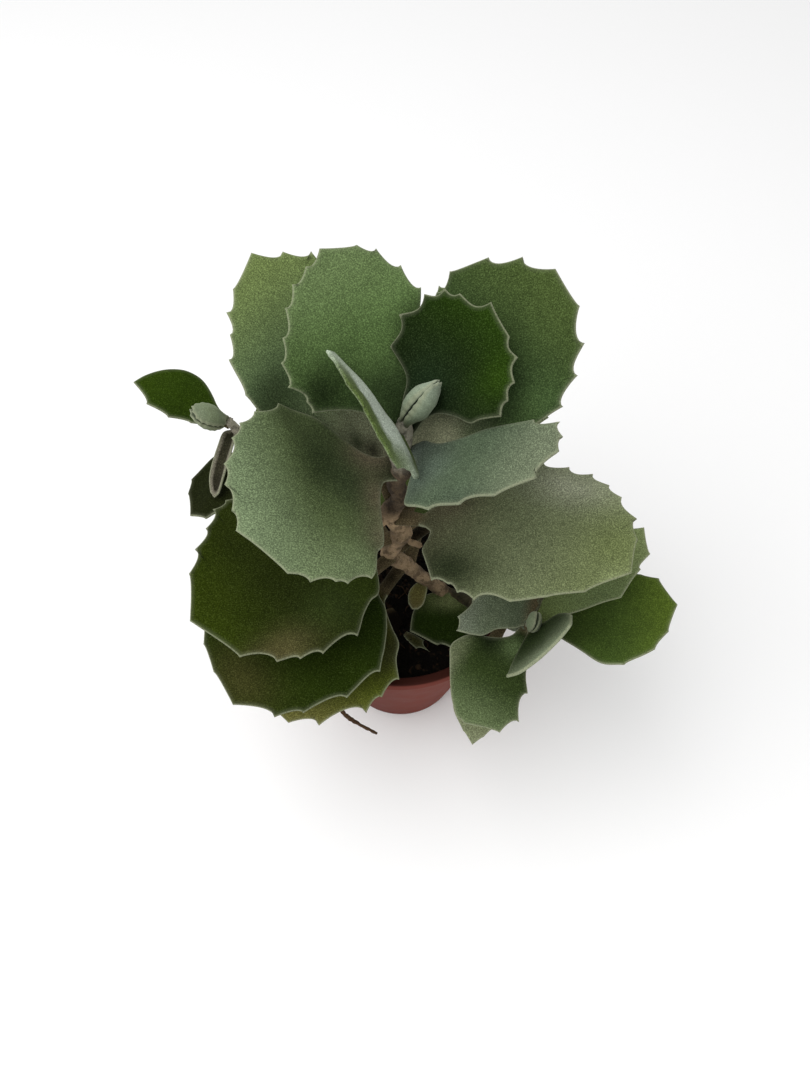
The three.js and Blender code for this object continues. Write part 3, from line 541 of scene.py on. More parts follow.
class Finish:
    """A material in the making: its nodes and its main shader, which starts from plain values."""

    def __init__(self, name, values):
        self.material = bpy.data.materials.new(name)
        self.material.use_nodes = True
        self.tree = self.material.node_tree
        self.tree.nodes.clear()
        self.shader = self.tree.nodes.new("ShaderNodeBsdfPrincipled")
        for socket, value in values.items():
            self.shader.inputs[socket].default_value = value
        output = self.tree.nodes.new("ShaderNodeOutputMaterial")
        self.tree.links.new(self.shader.outputs["BSDF"], output.inputs["Surface"])

    def feed(self, socket, given):
        """Links a value to a socket, or sets the socket to a plain number or colour."""
        if isinstance(given, Value):
            self.tree.links.new(given.socket, socket)
        else:
            socket.default_value = given

    def node(self, kind, settings=None, sockets=None, take=0):
        """Adds a node, makes its settings, feeds its sockets, and gives the output that is asked for."""
        made = self.tree.nodes.new(kind)
        for name, setting in (settings or {}).items():
            setattr(made, name, setting)
        for name, given in (sockets or {}).items():
            self.feed(made.inputs[name], given)
        return Value(self, made.outputs[take])

    def place(self):
        """Where a point of the piece is, in metres."""
        return self.node("ShaderNodeTexCoord", take="Object")

    def along(self, place, axis):
        """How far along the X, Y or Z axis a point of the piece is, in metres."""
        return self.node("ShaderNodeSeparateXYZ", None, {0: place}, take=axis)

    def grain(self, place, size, detail=2.0, roughness=0.5):
        """Noise between 0 and 1 whose spots are about size millimetres wide."""
        return self.node("ShaderNodeTexNoise", None, {"Vector": place, "Scale": 1 / (size * MM),
                                                      "Detail": detail, "Roughness": roughness})

    def attribute(self, name, take="Fac"):
        """The value that the mesh's points have under that name."""
        return self.node("ShaderNodeAttribute", {"attribute_name": name}, take=take)

    def mix(self, share, first, second):
        """The colour at a share of the way from the first to the second."""
        low, high = (c if isinstance(c, Value) else opaque(c) for c in (first, second))
        return self.node("ShaderNodeMix", {"data_type": "RGBA"}, {0: share, 6: low, 7: high}, take=2)

    def brighten(self, colour, factor):
        """A colour times a factor."""
        given = colour if isinstance(colour, Value) else tuple(colour)
        return self.node("ShaderNodeVectorMath", {"operation": "SCALE"}, {0: given, "Scale": factor})

    def colour(self, colour):
        self.feed(self.shader.inputs["Base Color"], colour)

    def relief(self, height, depth, strength=1.0):
        """Bumps as deep as depth, in millimetres, where height goes from 0 to 1."""
        normal = self.node("ShaderNodeBump", None,
                           {"Height": height, "Distance": depth * MM, "Strength": strength})
        self.feed(self.shader.inputs["Normal"], normal)


def opaque(colour):
    """A colour with its alpha, as a colour socket takes it."""
    return (*colour, 1.0)


def leaf_felt(name, look, sheen, grit):
    """Short dense hairs: the leaf's tones, which hold some painted shade and light, a fine speckle, soft
    blotches
    and a pale line on the edge: pale felt that is partly painted sheen of the hairs seen edge-on.
    """
    felt = Finish(name, {"Roughness": 0.92, "Specular IOR Level": 0.04, "Sheen Weight": sheen,
                         "Sheen Roughness": 0.5, "Sheen Tint": opaque(linear("dfe6cf"))})
    place = felt.place()
    hairs = felt.grain(place, 0.37, 1.0, 0.5)
    tufts = felt.grain(place, 2.2, 2.0)
    blotches = felt.grain(place, 14.0, 3.0, 0.55)
    speckle = hairs * 1.5 + hairs.between(0.45, 0.8) * 0.5 - 0.87
    light = 1.04 + speckle * grit + (tufts - 0.5) * 0.3 + (blotches - 0.5) * 0.4
    downy = felt.brighten(felt.attribute("tone", "Color"), light)
    tone = felt.mix(hairs.between(0.5, 0.8) * 0.05, downy, look.edge_colour)
    rim = felt.attribute("rim")
    # Pale felt on the edge, partly painted sheen of its hairs seen edge-on.
    edge = rim.between(0.55, 0.1) * hairs.between(0.2, 0.5) * 0.55 + rim.between(1.8, 0.2) * 0.12
    felt.colour(felt.mix(edge, tone, look.edge_colour))
    felt.relief(hairs * 0.6 + tufts * 0.4, 0.22 * grit, 0.6)
    return felt.material


def dry_leaf_finish(name):
    """A shrivelled brown leaf and a dry stalk."""
    dry = Finish(name, {"Roughness": 0.85, "Specular IOR Level": 0.05})
    place = dry.place()
    fibres = dry.grain(place, 0.7, 3.0, 0.6)
    patches = dry.grain(place, 5.0)
    dry.colour(dry.brighten(dry.attribute("tone", "Color"), 0.45 + fibres * 0.6 + patches * 0.5))
    dry.relief(fibres, 0.25, 0.7)
    return dry.material


def stem_felt(name, look):
    """Brown felt on wood, worn in places. It has painted shade under the crown, low down, on the right side
    and in the pits between its knobs, and it is pale on the young wood at the tips, and green-grey on the
    right shoot's end."""
    felt = Finish(name, {"Roughness": 0.9, "Specular IOR Level": 0.15, "Sheen Weight": 0.04})
    place = felt.place()
    hairs = felt.grain(place, 0.5, 3.0, 0.65)
    knobs = felt.grain(place, 2.6, 3.0, 0.6)
    wear = felt.grain(place, 7.0, 2.0).between(0.4, 0.7)
    height = felt.along(place, "Z")
    sideways = felt.along(place, "X")
    tone = felt.mix(wear * 0.6, look.colour, linear("33291c"))
    # Painted shade under the crown of leaves.
    crown_shade = height.between(0.119, 0.126)
    tone = felt.mix(crown_shade * 0.8, tone, linear("30271f"))
    # Painted shade on the trunk's foot and the right shoot, up to the shoot's end.
    right_side_shade = sideways.between(0.0165, 0.021)
    tone = felt.mix(right_side_shade * 0.85, tone, linear("2a2d1b"))
    young = height.between(0.141, 0.149) + sideways.between(-0.045, -0.056)
    tone = felt.mix(young * 0.9, tone, linear("a09c8c"))
    shoot_end = sideways.between(0.036, 0.041)
    tone = felt.mix(shoot_end * 0.9, tone, linear("66705a"))
    # Painted shade: darker low down, under the leaves.
    low = 1 - height.between(0.106, 0.095) * 0.2
    # Painted shade in the pits between the knobs.
    pit_shade = 1 - knobs.between(0.52, 0.38) * 0.5
    felt.colour(felt.brighten(tone, (0.3 + hairs * 1.4) * pit_shade * low))
    felt.relief(hairs * 0.4 + knobs * 0.6, 0.9, 0.9)
    return felt.material


def compost_finish(name, look):
    """Near-black compost with brown crumbs in it."""
    soil = Finish(name, {"Roughness": 0.93, "Specular IOR Level": 0.1})
    place = soil.place()
    lumps = soil.grain(place, 1.4, 4.0, 0.65)
    bark = soil.grain(place, 3.2, 3.0, 0.6).between(0.56, 0.72)
    shade = soil.mix(bark * 0.6, look.colour, look.fibre_colour)
    tone = soil.brighten(shade, 0.4 + lumps * 1.1)
    soil.colour(soil.mix(soil.attribute("fibre"), tone, look.fibre_colour))
    soil.relief(lumps, 0.9, 0.8)
    return soil.material


def pot_plastic(name, look):
    """Thin moulded plastic: a dusty wall with painted shade on its left, a darker lip top and inside, and
    faint scuffs.
    """
    plastic = Finish(name, {"Specular IOR Level": 0.04})
    place = plastic.place()
    dust = plastic.grain(place, 9.0, 4.0, 0.6)
    grain = plastic.grain(place, 0.5, 2.0)
    lip_top = plastic.along(place, "Z").between(look.height - 1.4 * MM, look.height - 0.2 * MM)
    # The lip's top and the inside of the pot take the darker rim colour.
    lip_and_inside = 1 - (1 - plastic.attribute("inside")) * (1 - lip_top)
    dusty = plastic.brighten(look.wall_colour, 0.8 + dust * 0.3 + grain * 0.1)
    # Painted shade: the wall darkens towards its left, the -X side.
    wall = plastic.brighten(dusty, 0.78 + plastic.along(place, "X").between(-0.014, 0.014) * 0.22)
    scuff = plastic.grain(place, 2.2, 5.0, 0.75).between(0.66, 0.74)
    worn = plastic.mix(scuff * 0.3, wall, linear("b08a7c"))
    plastic.colour(plastic.mix(lip_and_inside, worn, look.rim_colour))
    plastic.feed(plastic.shader.inputs["Roughness"], 0.5 + dust * 0.25 + scuff * 0.15)
    plastic.relief(grain, 0.05, 0.4)
    return plastic.material


def floor_finish(name, look):
    """A plain pale floor."""
    floor = Finish(name, {"Roughness": 0.8})
    shade = floor.grain(floor.place(), 600.0)
    floor.colour(floor.brighten(look.floor_colour, 0.99 + shade * 0.02))
    return floor.material


# ---- meshes

def piece(name, points, faces, material, attributes=None):
    """A smooth mesh object from points in millimetres, with values for its points."""
    mesh = bpy.data.meshes.new(name)
    mesh.from_pydata((np.asarray(points) * MM).tolist(), [], faces)
    mesh.materials.append(material)
    mesh.polygons.foreach_set("use_smooth", [True] * len(mesh.polygons))
    for label, values in (attributes or {}).items():
        if np.ndim(values) == 1:
            mesh.attributes.new(label, "FLOAT", "POINT").data.foreach_set("value", np.asarray(values, float))
        else:
            colours = np.column_stack([values, np.ones(len(values))])
            mesh.attributes.new(label, "FLOAT_COLOR", "POINT").data.foreach_set("color", colours.ravel())
    if mesh.validate():
        raise RuntimeError(f"{name} has faces that can't be used")
    mesh.update()
    made = bpy.data.objects.new(name, mesh)
    bpy.context.scene.collection.objects.link(made)
    return made


def hand_over(made, slot, *nodes):
    """The piece rides on the root body and takes the place of its CAD nodes. Its slot is not used."""
    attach(made, "root")
    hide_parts(*nodes)


def material_for(name, maker, *given):
    """The material of that name, made the first time that it is asked for."""
    return bpy.data.materials.get(name) or maker(name, *given)


def bands(first, rows, sides):
    """Quads that join rings of points, of which the lowest starts with point number first."""
    quads = []
    for row in range(rows - 1):
        low = first + row * sides
        high = low + sides
        for side in range(sides):
            after = (side + 1) % sides
            quads.append([low + side, low + after, high + after, high + side])
    return quads


def fan(middle, first, sides):
    """Triangles that join a middle point to a ring that starts with point number first."""
    return [[middle, first + side, first + (side + 1) % sides] for side in range(sides)]


def turned_over(faces):
    """The same faces, seen from their other side."""
    return [[face[0], *reversed(face[1:])] for face in faces]


def closed_rings(rows, sides):
    """Faces of a closed body of rings. Its first and last middle points are numbered after the rings."""
    count = rows * sides
    return bands(0, rows, sides) + turned_over(fan(count, 0, sides)) + fan(count + 1, count - sides, sides)


class Mould:
    """Points and faces gathered for one piece, with values for the points."""

    def __init__(self):
        self.points = []
        self.faces = []
        self.values = []

    def add(self, points, faces, value=0.0):
        """Takes in a body, whose points all get the same value."""
        start = len(self.points)
        self.points.extend(points)
        self.faces.extend([start + i for i in face] for face in faces)
        self.values.extend([value] * len(points))


def tube(stations, step, sides, rough, seed, swell=lambda at: 0):
    """A closed tube along the stations. Swell adds to its radius at a point, and rough is its unevenness."""
    path = spline(stations, step)
    middle = path[:, :3]
    heading = np.gradient(middle, axis=0)
    heading /= np.linalg.norm(heading, axis=1)[:, None]
    across = np.cross(heading[0], (0.3, 0.9, 0.1))
    points = []
    for at, ahead, radius in zip(middle, heading, path[:, 3]):
        across = across - ahead * np.dot(across, ahead)
        across /= np.linalg.norm(across)
        other = np.cross(ahead, across)
        for cosine, sine in circle(sides):
            out = across * cosine + other * sine
            uneven = rough * noise.noise(Vector((at + out * radius) * 0.55 + seed))
            points.append(at + out * (radius + swell(at) + uneven))
    points.append(middle[0] - heading[0] * 0.3)
    points.append(middle[-1] + heading[-1] * path[-1, 3] * 0.7)
    return points, closed_rings(len(middle), sides)


class Sheet:
    """The curved sheet that a leaf lies on: u along it, v across it, and a lift off it."""

    def __init__(self, at, along, left, up, bend, cup):
        self.at, self.along, self.left, self.up = (np.array(a, float) for a in (at, along, left, up))
        self.bend = bend
        self.cup = cup

    @staticmethod
    def arc(curve, reach):
        """How far ahead and how far aside an arc of that curvature gets, and its turn."""
        turn = curve * reach
        if abs(curve) < 1e-6:
            return reach, reach * 0, turn
        return np.sin(turn) / curve, (1 - np.cos(turn)) / curve, turn

    def place(self, u, v, lift):
        """Where points of the flat leaf come to lie, lift above the sheet."""
        forward, climb, turn = self.arc(self.bend, u)
        aside, lifted, swing = self.arc(self.cup, v)
        up = np.outer(np.cos(turn), self.up) - np.outer(np.sin(turn), self.along)
        normal = up * np.cos(swing)[:, None] - np.outer(np.sin(swing), self.left)
        return (self.at + np.outer(forward, self.along) + np.outer(climb, self.up)
                + np.outer(aside, self.left) + up * lifted[:, None] + normal * lift[:, None])


def directions(heading, rise, roll):
    """Along, left and up of a sheet, from its heading, rise and roll in degrees."""
    h, r, t = (math.radians(a) for a in (heading, rise, roll))
    along = np.array((math.cos(h) * math.cos(r), math.sin(h) * math.cos(r), math.sin(r)))
    level = np.array((-math.sin(h), math.cos(h), 0))
    upright = np.cross(along, level)
    left = level * math.cos(t) + upright * math.sin(t)
    return along, left, np.cross(along, left)


def measured(points):
    """Each point's share of the way along a line, and the line's length."""
    run = np.concatenate([[0], np.cumsum(np.hypot(*np.diff(points, axis=0).T))])
    return run / run[-1], run[-1]


def tooth_depth(span, side, leaf, look):
    """Depth of the arc between two teeth. A long plain stretch of edge is nearly straight."""
    longest = leaf["plain"][0 if side < 0 else 1]
    return span * (PLAIN_DEPTH_SHARE if span > longest else look.tooth_depth * leaf["dip"])


def half_edge(leaf, side, neck, look):
    """The leaf's edge on one side, from the stalk to the tip, and the places of its teeth on that edge."""
    teeth = leaf["teeth"]
    tip = max(range(len(teeth)), key=lambda i: teeth[i][0])
    flank = leaf["right"] if side < 0 else leaf["left"][::-1]
    row = teeth[:tip + 1] if side < 0 else teeth[tip:][::-1]
    line = list(spline([(leaf["stalk"], side * neck), *flank, row[0]], FLANK_STEP))
    marks = [len(line) - 1]
    for first, second in zip(np.array(row, float), np.array(row[1:], float)):
        step = second - first
        span = float(np.hypot(*step))
        inward = np.array((-step[1], step[0])) * (-side) / span
        deepest = tooth_depth(span, side, leaf, look)
        for share in np.linspace(0, 1, ARC_POINTS)[1:]:
            depth = deepest * math.sin(math.pi * share ** leaf["lean"]) ** ARC_FULLNESS
            line.append(first + step * share + inward * depth)
        marks.append(len(line) - 1)
    line = np.array(line)
    shares, length = measured(line)
    return line, shares, length, [shares[mark] for mark in marks]


def even_edge(length, width, flank, teeth):
    """The edge of a leaf that is even on both sides, from shares of its length and of half its width."""
    right, left = ([(u * length, side * v * width / 2) for u, v in (flank, *teeth)] for side in (-1, 1))
    return dict(right=right[:1], teeth=[*right[1:], (length, 0), *left[:0:-1]], left=left[:1])


def rib_shares(breaks, length, spacing):
    """Shares of the way to the tip where a rib stands. Every tooth gets one."""
    marks = [0.0]
    for mark in sorted(breaks) + [1.0]:
        if mark - marks[-1] > LEAST_MARK_SHARE:
            marks.append(float(mark))
    marks[-1] = 1.0
    shares = []
    for low, high in zip(marks, marks[1:]):
        count = max(1, round((high - low) * length / spacing))
        shares.extend(np.linspace(low, high, count, endpoint=False))
    return np.array(shares + [1.0])


def across_shares(width):
    """Shares of a rib, from the midrib to the edge, closer together near the edge."""
    outer = np.minimum(EDGE_ROWS, width * np.array(EDGE_ROW_SHARES))
    edge = 1 - outer[::-1] / width
    inner = edge[0] * np.array(INNER_ROW_SHARES)
    return np.concatenate([inner, edge, [1.0]])


def edge_distance(points, line):
    """Distance of each point from a line of straight pieces."""
    starts = line[:-1]
    steps = line[1:] - starts
    squares = np.maximum((steps ** 2).sum(1), 1e-12)
    away = points[:, None, :] - starts[None]
    share = np.clip((away * steps).sum(2) / squares, 0, 1)
    return np.sqrt(((away - share[..., None] * steps) ** 2).sum(2).min(1))


def leaf_ribs(leaf, look):
    """The leaf flat on its sheet: rows of points from right edge to left, and where its midrib runs."""
    stalk, thin = leaf["stalk"], leaf["thin"]
    radius = look.stalk_radius / MM * thin
    neck = min(NECK * max(thin, 0.7), NECK_SHARE * max(abs(tooth[1]) for tooth in leaf["teeth"]))
    right, left = (half_edge(leaf, side, neck, look) for side in (-1, 1))
    length = max(right[2], left[2])
    shares = rib_shares(right[3] + left[3], length, look.spacing / MM)
    tip = right[0][-1]
    middle_u = blend(stalk, tip[0], shares ** RIB_SLANT)
    middle = np.column_stack([middle_u, tip[1] * (middle_u / tip[0]) ** 2])
    sides = [np.column_stack([np.interp(shares, half[1], half[0][:, axis]) for axis in (0, 1)])
             for half in (right, left)]
    if stalk > SHORTEST_STALK:
        u = np.arange(STALK_START, stalk - STALK_END_GAP, STALK_STEP)
        near = u / stalk
        broad = radius * leaf["foot"]
        half = blend(broad * 1.25, broad, near) + (neck - broad) * ease(near, 0.6, 1)
        drift = tip[1] * (u / tip[0]) ** 2
        middle = np.vstack([np.column_stack([u, drift]), middle])
        sides = [np.vstack([np.column_stack([u, drift + side * half]), edge])
                 for side, edge in zip((-1, 1), sides)]
    rows = []
    for centre, low, high in zip(middle, *sides):
        out = across_shares(max(float(np.hypot(*(low - centre))), 1e-3))
        back = across_shares(max(float(np.hypot(*(high - centre))), 1e-3))
        rows.append(np.vstack([centre + np.outer(out[::-1], low - centre),
                               centre + np.outer(back[1:], high - centre)]))
    edge = np.vstack([sides[0], sides[1][::-1]])
    return np.array(rows), edge, middle, tip


def leaf_sides(leaf, look, u, aside, along, rim, widths):
    """How far the leaf goes above and below its sheet: a plate with a rounded edge, a hollow along the midrib
    above, a rib below and a round stalk. A plump leaf bulges below."""
    stalk, thin = leaf["stalk"], leaf["thin"]
    right, left = widths
    thickness = blend(look.edge_thickness, look.middle_thickness, ease(rim, 0, EDGE_TO_MIDDLE)) / MM
    rounded = np.sqrt(1 - (1 - np.clip(rim / EDGE_ROUNDING, 0, 1)) ** 2)
    plate = thickness / 2 * max(thin, 0.6) * rounded
    radius = look.stalk_radius / MM * thin
    on_stalk = 1 - ease(u, stalk - 1.5, stalk + 2.5)
    stalk_round = radius * np.sqrt(np.clip(1 - (aside / np.maximum(left, 1e-3)) ** 2, 0, 1))
    taper = radius * (1 - 0.75 * along)
    rib = np.sqrt(np.clip(taper ** 2 - aside ** 2, 0, None)) * (1 - ease(along, 0.6, 0.95))
    hollow = HOLLOW_DEPTH * thin * np.exp(-(aside / HOLLOW_WIDTH) ** 2) * (1 - on_stalk) * (1 - along)
    above = blend(np.maximum(plate - hollow * rounded, 0), stalk_round, on_stalk)
    below = blend(either(plate, rib * rounded), stalk_round, on_stalk)
    dome = np.sqrt(np.clip(1 - (aside / np.maximum(np.where(aside > 0, left, right), 0.5)) ** 2, 0, 1))
    bulge = leaf["plump"] * dome * ease(along, -0.1, 0.4) * (1 - ease(along, 0.55, 1.05)) * rounded
    return above, below + bulge


def leaf_waves(leaf, look, u, v, aside):
    """How far the blade waves off its sheet: long waves towards the edge, and small buckles all over."""
    stalk = leaf["stalk"]
    chance = random.Random(leaf["name"])
    long, short, ahead, over = (chance.uniform(0, 2 * math.pi) for _ in range(4))
    reach = np.clip(np.abs(aside) / 22, 0, 1.2) ** 1.5 * ease(u, stalk, stalk + 12)
    wave = look.wave / MM * reach * (np.sin(u * 0.23 + long) + 0.6 * np.sin(u * 0.41 + v * 0.1 + short))
    return wave + BUCKLE * ease(u, stalk, stalk + 8) * np.sin(u * 0.3 + ahead) * np.sin(v * 0.33 + over)


def leaf_faces(rows, columns):
    """Faces of a leaf's top and of its underside, which share the edge and the tip, and of its cut foot. The
    underside's points are numbered after the top's."""
    number = np.arange(rows * columns).reshape(rows, columns)
    number[-1, :] = number[-1, 0]
    turned = number + rows * columns
    turned[:, 0] = number[:, 0]
    turned[:, -1] = number[:, -1]
    turned[-1, :] = number[-1, 0]
    faces = []
    for row in range(rows - 1):
        for column in range(columns - 1):
            quad = (number[row, column], number[row + 1, column],
                    number[row + 1, column + 1], number[row, column + 1])
            other = (turned[row, column], turned[row, column + 1],
                     turned[row + 1, column + 1], turned[row + 1, column])
            for face in (quad, other):
                kept = list(dict.fromkeys(int(i) for i in face))
                if len(kept) > 2:
                    faces.append(kept)
    faces.append([int(i) for i in (*number[0], *turned[0, -2:0:-1])])
    return faces


def leaf_tone(leaf, look, u, v, along, rim):
    """The felt's colour at each point: the leaf's tones, its stalk, its band and its patches, which hold
    painted shade and painted light in places.
    """
    foot, middle, tip = (np.array(linear(code)) for code in leaf["tones"])
    tone = blend(blend(foot, middle, ease(along, 0, 0.5)[:, None]), tip, ease(along, 0.5, 1)[:, None])
    on_stalk = 1 - ease(u, leaf["stalk"] - 2, leaf["stalk"] + 3)
    tone = blend(tone, np.array(look.stalk_colour), on_stalk[:, None])
    if leaf["band"]:
        width, code = leaf["band"]
        tone = blend(np.array(linear(code)), tone, ease(rim, 0.75 * width, 1.25 * width)[:, None])
    for at_u, at_v, reach_u, reach_v, code, strength in leaf["patches"]:
        near = strength * np.exp(-((u - at_u) / reach_u) ** 2 - ((v - at_v) / reach_v) ** 2)
        tone = blend(tone, np.array(linear(code)), near[:, None])
    return tone


def leaf_mesh(leaf, sheet, material, look):
    """A solid leaf on its sheet, with its tones and its distance from the edge as values of its points."""
    grid, edge, middle, tip = leaf_ribs(leaf, look)
    rows, columns = grid.shape[:2]
    flat = grid.reshape(-1, 2)
    u, v = flat.T
    rim = edge_distance(flat, edge)
    aside = v - tip[1] * (u / tip[0]) ** 2
    along = np.clip((u - leaf["stalk"]) / (tip[0] - leaf["stalk"]), 0, 1)
    widths = [np.repeat(np.abs(grid[:, column, 1] - middle[:, 1]), columns) for column in (0, -1)]
    above, below = leaf_sides(leaf, look, u, aside, along, rim, widths)
    wave = leaf_waves(leaf, look, u, v, aside)
    tone = leaf_tone(leaf, look, u, v, along, rim)
    pale = blend(tone, np.array(look.under_colour), 0.35)
    faces = leaf_faces(rows, columns)
    used = np.unique(np.concatenate(faces))
    order = np.full(2 * rows * columns, -1)
    order[used] = np.arange(len(used))
    points = np.vstack([sheet.place(u, v, wave + above), sheet.place(u, v, wave - below)])[used]
    faces = [[int(order[i]) for i in face] for face in faces]
    rims = np.concatenate([rim, rim])[used]
    on_stalk = np.concatenate([u, u])[used] < leaf["stalk"]
    rims = np.where(on_stalk, NO_LINE, rims) if leaf["line"] else rims + NO_LINE
    values = {"tone": np.vstack([tone, pale])[used], "rim": rims}
    return piece("felt_" + leaf["name"], points, faces, material, values)


def leaf_sheet(leaf):
    """The sheet of a leaf, from its row."""
    aims = directions(leaf["heading"], leaf["rise"], leaf["roll"])
    return Sheet(leaf["at"], *aims, leaf["bend"], leaf["cup"])


def green_felt(look):
    """The material of every green leaf that is open."""
    return material_for("leaf_felt", leaf_felt, look, 0.04, 1.0)


def plant_leaves(context, leaves):
    """Builds the leaves of one group and hands them over."""
    look = context.scene.kalanchoe_leaf
    for row in leaves:
        leaf = PLAIN_SHEET | row
        hand_over(leaf_mesh(leaf, leaf_sheet(leaf), green_felt(look), look), "leaf", leaf["name"])


def soil_height(x, y, level):
    """The compost's uneven surface, without its crumbs."""
    return level + SOIL_RELIEF * (math.sin(0.31 * x + 1.3) * math.cos(0.27 * y)
                                  + 0.6 * math.sin(0.53 * y + 0.21 * x))


def inner_radius(pot, z):
    """Radius of the pot's inside at a height, between its base and the rounding of its lip."""
    share = (z - BASE) / (pot.height / MM - ROUNDING - BASE)
    return blend((pot.foot_radius - pot.wall) / MM, (pot.rim_radius - pot.lip_width - pot.wall) / MM, share)


# ---- operators

class KALANCHOE_OT_stage(bpy.types.Operator):
    """Lay the floor, hang the light and set up the camera"""
    bl_idname = "kalanchoe.stage"
    bl_label = "Stage"

    def execute(self, context):
        look = context.scene.kalanchoe_stage
        mesh = bpy.data.meshes.new("floor")
        plate = bmesh.new()
        bmesh.ops.create_grid(plate, x_segments=8, y_segments=8, size=FLOOR_SIZE)
        plate.to_mesh(mesh)
        plate.free()
        mesh.materials.append(material_for("studio_floor", floor_finish, look))
        floor = bpy.data.objects.new("floor", mesh)
        floor.location.z = -FLOOR_DROP
        context.scene.collection.objects.link(floor)
        world = bpy.data.worlds.new("soft_white_room")
        world.use_nodes = True
        background = world.node_tree.nodes["Background"]
        background.inputs["Color"].default_value = (1, 1, 1, 1)
        background.inputs["Strength"].default_value = look.sky
        context.scene.world = world
        self.lamp(context, look.key)
        context.scene.view_settings.view_transform = "Standard"
        camera = bpy.data.cameras.new("camera")
        camera.lens = CAMERA_LENS
        holder = bpy.data.objects.new("camera", camera)
        holder.location = CAMERA_PLACE
        holder.rotation_euler = (math.radians(CAMERA_TILT), 0, 0)
        context.scene.collection.objects.link(holder)
        context.scene.camera = holder
        return {"FINISHED"}

    @staticmethod
    def lamp(context, power):
        """The square soft light that looks at the plant."""
        data = bpy.data.lights.new("key_light", "AREA")
        data.size = LIGHT_SIZE
        data.energy = power
        lamp = bpy.data.objects.new("key_light", data)
        lamp.location = LIGHT_PLACE
        ahead = Vector(PLANT_MIDDLE) - Vector(LIGHT_PLACE)
        lamp.rotation_euler = ahead.to_track_quat("-Z", "Y").to_euler()
        context.scene.collection.objects.link(lamp)


class KALANCHOE_OT_pot(bpy.types.Operator):
    """Turn the moulded nursery pot, with its lip and drain holes"""
    bl_idname = "kalanchoe.pot"
    bl_label = "Pot"
    sides = 144

    def execute(self, context):
        look = context.scene.kalanchoe_pot
        profile, inside = self.profile(look)
        points = [(radius * cosine, radius * sine, height)
                  for radius, height in profile for cosine, sine in circle(self.sides)]
        points += [(0, 0, 0), (0, 0, BASE)]
        faces = closed_rings(len(profile), self.sides)
        values = [*np.repeat(inside, self.sides), 0, 1]
        material = material_for("terracotta_plastic", pot_plastic, look)
        pot = piece("moulded_pot", points, faces, material, {"inside": values})
        self.drill(pot)
        hand_over(pot, "pot", "pot")
        return {"FINISHED"}

    @staticmethod
    def rounded(corner, before, after, radius):
        """A few points that round off a corner of the profile."""
        start, end = (corner + (near - corner) / np.linalg.norm(near - corner) * radius
                      for near in (before, after))
        shares = (0, 0.25, 0.5, 0.75, 1)
        return [(1 - t) ** 2 * start + 2 * t * (1 - t) * corner + t * t * end for t in shares]

    def profile(self, look):
        """Radius and height from the foot up the outside, over the lip and down the inside, and for each
        point whether it lies on the inside."""
        height, rim, foot = look.height / MM, look.rim_radius / MM, look.foot_radius / MM
        lip, wall = look.lip_width / MM, look.wall / MM
        under = height - look.lip_height / MM
        # Each corner: radius, height, how far it is rounded, and 1 on the inside.
        table = [(BASE_MIDDLE, 0, 0, 0),
                 (foot - 3, 0, 0.1, 0), (foot - 2.4, 0.5, 0.1, 0),
                 (foot - 1.4, 0.5, 0.1, 0), (foot - 0.9, 0, 0.1, 0), (foot, 0, 0.7, 0),
                 (rim - lip, under, 0.4, 0), (rim, under + 0.3, 0.7, 0), (rim, height, 1, 0),
                 (rim - lip - wall, height, 0.9, 1), (foot - wall, BASE, 1.2, 1), (BASE_MIDDLE, BASE, 0, 1)]
        corners = [np.array(row[:2], float) for row in table]
        line, inside = [], []
        for i, (_, _, rounding, kind) in enumerate(table):
            bent = [corners[i]]
            if rounding:
                bent = self.rounded(corners[i], corners[i - 1], corners[i + 1], rounding)
            line += bent
            inside += [kind] * len(bent)
        return line, inside

    @staticmethod
    def drill(pot):
        """Cuts the drain holes through the base."""
        cutter_mesh = bpy.data.meshes.new("drain_cutter")
        cutter = bmesh.new()
        ring = DRAIN_HOLES["ring"]
        radius = DRAIN_HOLES["radius"] * MM
        for cosine, sine in circle(DRAIN_HOLES["count"]):
            made = bmesh.ops.create_cone(cutter, cap_ends=True, segments=32, radius1=radius, radius2=radius,
                                         depth=3 * BASE * MM)
            place = Vector((ring * cosine, ring * sine, BASE / 2)) * MM
            bmesh.ops.translate(cutter, verts=made["verts"], vec=place)
        cutter.to_mesh(cutter_mesh)
        cutter.free()
        holder = bpy.data.objects.new("drain_cutter", cutter_mesh)
        bpy.context.scene.collection.objects.link(holder)
        cut = pot.modifiers.new("drain", "BOOLEAN")
        cut.operation = "DIFFERENCE"
        cut.solver = "EXACT"
        cut.object = holder
        result = bpy.data.meshes.new_from_object(pot.evaluated_get(bpy.context.evaluated_depsgraph_get()))
        pot.modifiers.clear()
        old = pot.data
        pot.data = result
        bpy.data.meshes.remove(old)
        bpy.data.objects.remove(holder)


